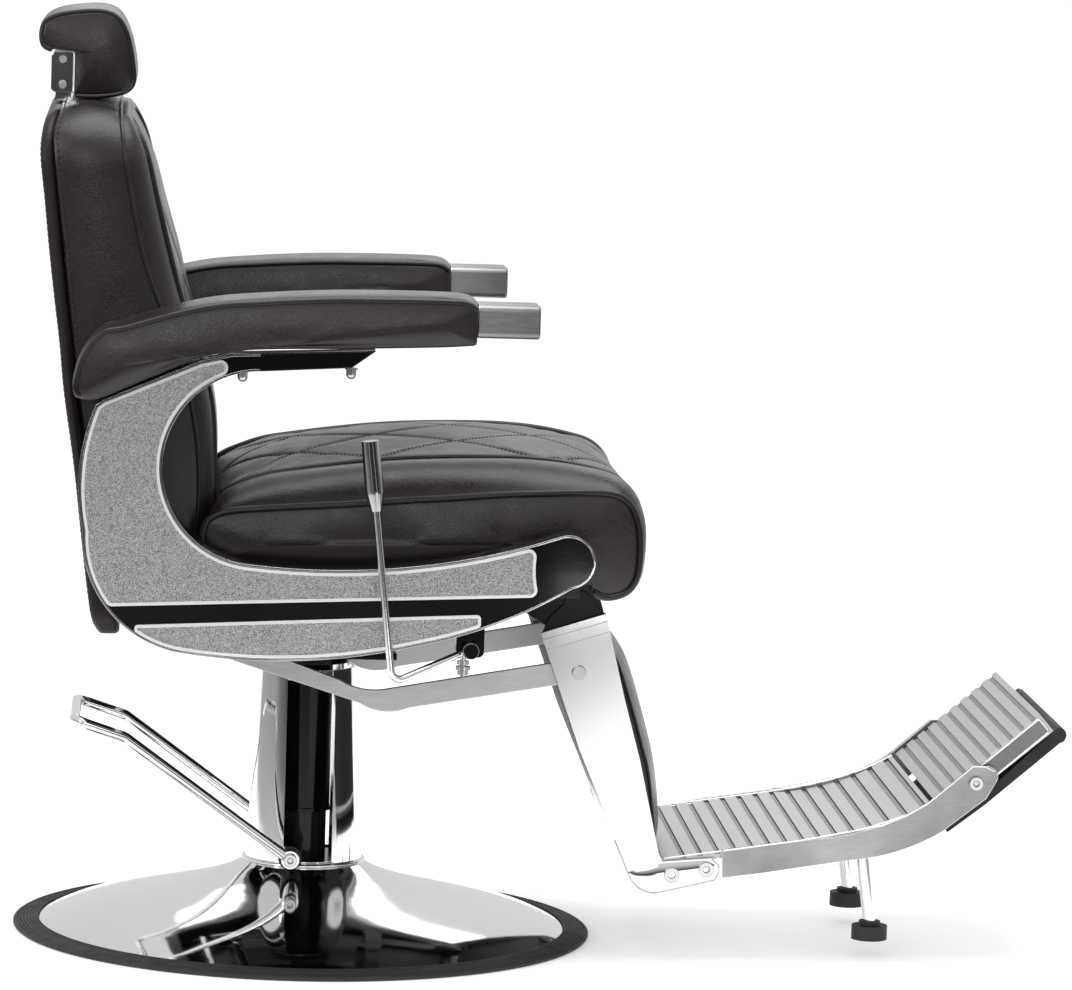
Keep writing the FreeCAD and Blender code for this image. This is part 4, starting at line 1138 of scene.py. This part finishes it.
def rounded_box(half, low, high, r_low, r_high, counts=(40, 14, 50, 20)):
    """Outline (y, z) with rounded corners; the same counts give matching points on every box."""
    bottom, corner, upright, shoulder = counts
    right = []
    for t in np.linspace(0, 1, bottom // 2, endpoint=False):
        right.append((t * (half - r_low), low))
    for t in np.linspace(0, math.pi / 2, corner, endpoint=False):
        right.append((half - r_low + r_low * math.sin(t), low + r_low - r_low * math.cos(t)))
    for t in np.linspace(0, 1, upright, endpoint=False):
        right.append((half, low + r_low + t * (high - r_high - low - r_low)))
    for t in np.linspace(0, math.pi / 2, shoulder, endpoint=False):
        right.append((half - r_high + r_high * math.cos(t), high - r_high + r_high * math.sin(t)))
    for t in np.linspace(0, 1, bottom // 2, endpoint=False):
        right.append(((1 - t) * (half - r_high), high))
    right = np.array(right)
    left = right[1:][::-1] * (-1, 1)
    top = np.array([(0.0, high)])
    return np.vstack([right, top, left])


def inward(outline, amount):
    return outline - outward(outline) * amount


def shrunk(outline, t, spine_half, z_low, z_high):
    """The outline drawn in towards an upright oval core."""
    target = np.stack([np.clip(outline[:, 0], -spine_half, spine_half),
                       np.clip(outline[:, 1], z_low, z_high)], axis=1)
    return outline * (1 - t) + target * t


def lay(outline, x):
    return np.stack([x, outline[:, 0], outline[:, 1]], axis=1)


def make_back():
    outer = rounded_box(236, 450, 929, 26, 62)
    inner = rounded_box(200, 462, 917, 18, 40)
    loops = []
    kinds = []
    rear_core = (0, 560, 800)
    for t in np.linspace(1, 0, 7):
        o = shrunk(inward(outer, 3.0), t, *rear_core)
        loops.append(lay(o, x_at(BACK_SEAM, o[:, 1]) + 1.5))
        kinds.append("rear")
    kinds[-1] = "seam"
    for t in np.linspace(0, 1, 19)[1:]:
        bulge = 9.0 * math.sin(math.pi * t) ** 0.8 if t < 1 else 0.0
        o = inward(outer, 5.0 - bulge)
        x = x_at(BACK_SEAM, o[:, 1]) * (1 - t) + x_at(BACK_GROOVE, o[:, 1]) * t
        loops.append(lay(o, x))
        kinds.append("side")
    kinds[-1] = "groove"
    for t in np.linspace(0, 1, 11)[1:]:
        bulge = 7.5 * math.sin(math.pi * t) ** 0.8 if t < 1 else 0.0
        o = inward(outer, 5.0) * (1 - t) + inner * t
        x = x_at(BACK_GROOVE, o[:, 1]) * (1 - t) + x_at(BACK_PIPE, o[:, 1]) * t + bulge * 0.8
        o = o + outward(o) * bulge * 0.35
        loops.append(lay(o, x))
        kinds.append("bolster")
    kinds[-1] = "pipe"
    for t in np.linspace(0, 1, 30)[1:]:
        o = shrunk(inner, t, 0, 480, 890)
        rise = 1 - (1 - t) ** 2
        x = x_at(BACK_PIPE, o[:, 1]) * (1 - rise) + x_at(BACK_FRONT, o[:, 1]) * rise
        loops.append(lay(o, x - 2.0 * math.exp(-(t / 0.04) ** 2)))
        kinds.append("front")
    loops = np.array(loops)
    held = np.zeros(loops.shape[:2], bool)
    for i, kind in enumerate(kinds):
        held[i] = kind in ("rear", "seam", "groove", "pipe")
    held |= loops[:, :, 2] < BACK_HEM
    mesh = cushion_mesh("back_cover", loops, held, 4.0, 3.0)
    c = coords_of(mesh) / MM
    n = normals_of(mesh)
    gap = quilt_gap(c[:, 2] - BACK_NODE_Z + QUILT_NODE[0], c[:, 1])
    edge = np.clip((186 - np.abs(c[:, 1])) / 14, 0, 1) * np.clip((905 - c[:, 2]) / 14, 0, 1)
    edge *= np.clip((c[:, 2] - 470) / 20, 0, 1) * (n[:, 0] > 0.6)
    push(mesh, quilt_relief(gap, 2.4, 1.2) * edge)
    tree = cushion("back_cover", mesh, "backrest", "back_cushion")
    index = {kind: i for i, kind in enumerate(kinds) if kind in ("seam", "groove", "pipe")}
    keep = loops[index["pipe"]][:, 2] > 464
    pipe = np.roll(loops[index["pipe"]], len(keep) // 2, axis=0)
    piping("back_piping", tree, pipe[np.roll(keep, len(keep) // 2)], "backrest", 3.3, 0.9)
    groove = np.roll(loops[index["groove"]], len(keep) // 2, axis=0)
    groove = groove[groove[:, 2] > BACK_HEM]
    piping("back_welt", tree, groove, "backrest", 2.3, 0.2)
    rows = []
    for row in quilt_rows((-110, 330), QUILT_SPAN, 2.6):
        places = [(0.1, y * MM, (a - QUILT_NODE[0] + BACK_NODE_Z) * MM) for a, y in row]
        path = traced(tree, places, (-1, 0, 0), lambda hit: 0.475 < hit.z < 0.9)
        if len(path) > LEAST_POINTS:
            rows.append(np.array(path))
    stitches("back_quilt_stitches", tree, rows, "backrest", thick=0.8)
    seam = np.roll(loops[index["seam"]], len(keep) // 2, axis=0)
    seam = seam[seam[:, 2] > BACK_HEM] + (5.5, 0, 0)
    stitches("back_border_stitches", tree, [seam * (1, 1.02, 1)], "backrest", length=5.0, gap=2.4, thick=0.85)


def make_back_board():
    """Upholstered board behind the cushion, with a rounded edge and a stitched border."""
    outer = rounded_box(237, 358, 925, 26, 62)
    loops = []
    edge = 7.0

    def thickness(z):
        return 13.5 + 12.5 * np.clip((462 - z) / 26, 0, 1)

    for t in np.linspace(1, 0, 17):
        o = shrunk(inward(outer, edge), t, 0, 480, 800)
        crown = 1.5 * (1 - (1 - t) ** 2)
        loops.append(lay(o, x_at(BACK_REAR, o[:, 1]) - crown + 1.0 * math.exp(-((t - 0.1) / 0.04) ** 2)))
    for angle in np.linspace(0, math.pi / 2, 6)[1:]:
        o = inward(outer, edge * (1 - math.sin(angle)))
        loops.append(lay(o, x_at(BACK_REAR, o[:, 1]) + edge * (1 - math.cos(angle))))
    for angle in np.linspace(0, math.pi / 2, 6):
        o = inward(outer, edge * (1 - math.cos(angle)))
        depth = thickness(o[:, 1]) - edge * (1 - math.sin(angle))
        loops.append(lay(o, x_at(BACK_REAR, o[:, 1]) + depth))
    for t in np.linspace(0, 1, 8)[1:]:
        o = shrunk(inward(outer, edge), t, 0, 480, 800)
        loops.append(lay(o, x_at(BACK_REAR, o[:, 1]) + thickness(o[:, 1])))
    mesh = ring_mesh("back_board_cover", loops)
    closed_up(mesh)
    mesh = subdivided(mesh)
    cover = new_object("back_board_cover", mesh, "backrest", "leather_back")
    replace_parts(cover, "back_board")
    tree = surface(mesh)
    rows = []
    line = inward(outer, 17.0)
    line = line[np.r_[np.arange(len(line)), 0]]
    rows.append(lay(line, x_at(BACK_REAR, line[:, 1]) - 3))
    stitches("back_board_stitches", tree, rows, "backrest", length=4.5, gap=2.2, thick=0.6)


# ---- Headrest ----------------------------------------------------------------------------------
HEAD = [
    ([(-277.5, 936), (-277.5, 960), (-277.5, 984.5)], 12),
    ([(-277.5, 984.5), (-294, 985.5), (-309, 987), (-314, 993), (-316, 1004)], 12),
    ([(-316, 1004), (-314, 1015), (-307, 1022), (-292, 1028), (-265, 1032), (-245, 1032), (-231, 1027),
      (-221, 1014), (-214, 994), (-210, 970), (-209, 954), (-213, 945), (-221, 940)], 56),
    ([(-221, 940), (-240, 936.5), (-262, 935), (-277.5, 936)], 16),
]


def make_headrest():
    outline = ring(HEAD)
    parts = stretches(HEAD)
    weight = np.zeros(len(outline))
    weight[parts[2]] = 1
    weight[parts[3]] = 0.25
    weight = blur(weight, 4)
    half = 126.0
    small = outline - outward(outline) * 0.8

    def crown(y):
        return end_bead(y, half, 1.6, 2.6, 2.2, 5.0)

    stations = [(y, 0.0) for y in np.linspace(0, half, 25)]
    loops, tags = side_loft(small, small, half, stations, crown, 6.0, ((-255, 985), (-245, 985)), weight)
    held = held_points(loops, tags, (half,), [parts[0], parts[1]])
    mesh = cushion_mesh("headrest_cover", loops, held, 2.0, 2.0)
    tree = cushion("headrest_cover", mesh, "headrest", "headrest_cushion")
    seam = outline[np.concatenate([parts[1][6:], parts[2], parts[3]])]
    side_pipings("headrest_piping_", tree, seam, half, "headrest", 2.6, 0.4, 3.0)


# ---- Arm pads ----------------------------------------------------------------------------------
ARM = [
    ([(159.5, 692), (160.5, 712), (159.5, 731)], 10),
    ([(159.5, 731), (150, 738), (119, 739.5), (23, 738.5), (-30, 736), (-72, 733), (-115, 729), (-157, 720),
      (-188, 711), (-220, 701)], 70),
    ([(-220, 701), (-236, 698), (-247, 688), (-258, 671), (-265, 648), (-266, 632), (-259, 624)], 20),
    ([(-259, 624), (-239, 626), (-187, 649), (-134, 671), (-82, 681), (24, 685), (120, 689),
      (159.5, 692)], 70),
]


ARM_Y = 290.0                # middle of an arm pad


def make_arm(side, word):
    outline = ring(ARM)
    parts = stretches(ARM)
    weight = np.zeros(len(outline))
    weight[parts[1]] = 1
    weight[parts[2]] = 0.5
    weight[parts[0][-3:]] = 0.5
    weight = blur(weight, 4)
    half = 44.0

    def crown(y):
        return end_bead(y, half, 5.5, 2.2, 2.6, 3.5)

    stations = [(y, 0.0) for y in np.linspace(0, half - 2, 12)]
    under = blur(np.where(np.isin(np.arange(len(outline)), parts[3]), 1.0, 0.0), 2)
    rim = outline - outward(outline) * (3.5 * under)[:, None]
    stations += [(half, 1.0)]
    loops, tags = side_loft(outline, rim, half, stations, crown, 6.0, ((-215, 662), (120, 712)), weight,
                            centre=side * ARM_Y)
    held = held_points(loops, tags, (half,), [parts[0], parts[3]])
    mesh = cushion_mesh("arm_cover_" + word, loops, held, 2.5, 3.0)
    tree = cushion("arm_cover_" + word, mesh, "seat", "arm_pad_" + word)
    seam = outline[np.concatenate([parts[1], parts[2]])]
    for edge, tag in ((-1, "inner"), (1, "outer")):
        path = np.array([(p[0], side * (ARM_Y + edge * half), p[1]) for p in seam])
        piping("arm_piping_%s_%s" % (tag, word), tree, path, "seat", 3.0, 0.5, step=3.5)


# ---- Calf pad ----------------------------------------------------------------------------------
CALF = [
    ([(304, 337), (330, 228), (356, 127)], 30),
    ([(356, 127), (370, 127.5), (384, 130)], 6),
    ([(384, 130), (381, 165), (375, 210), (367, 239), (357, 273), (348, 301), (340, 324), (330, 344)], 34),
    ([(330, 344), (322, 347), (304, 337)], 8),
]


def make_calf():
    outline = ring(CALF)
    parts = stretches(CALF)
    weight = np.zeros(len(outline))
    weight[parts[2]] = 1
    weight = blur(weight, 3)
    half = 158.0

    def crown(y):
        return end_bead(y, half, 13.0, 2.6, 1.5, 5.0)

    stations = [(y, 0.0) for y in np.linspace(0, half, 27)]
    loops, tags = side_loft(outline, outline, half, stations, crown, 3.0, ((322, 320), (368, 140)), weight)
    held = held_points(loops, tags, (half,), [parts[0], parts[1]])
    mesh = cushion_mesh("calf_cover", loops, held, 2.5, 3.0)
    tree = cushion("calf_cover", mesh, "leg_rest", "calf_pad")
    seam = outline[np.concatenate([parts[1], parts[2], parts[3]])]
    side_pipings("calf_piping_", tree, seam, half, "leg_rest", 1.8, 0.6, 3.5)


make_camera()
make_world()
make_floor()
make_lights()
paint_frame()
round_hard_edges()
make_seat()
make_back()
make_back_board()
make_headrest()
for side_no, side_word in SIDES:
    make_arm(side_no, side_word)
make_calf()
bpy.context.scene.view_settings.view_transform = "Standard"
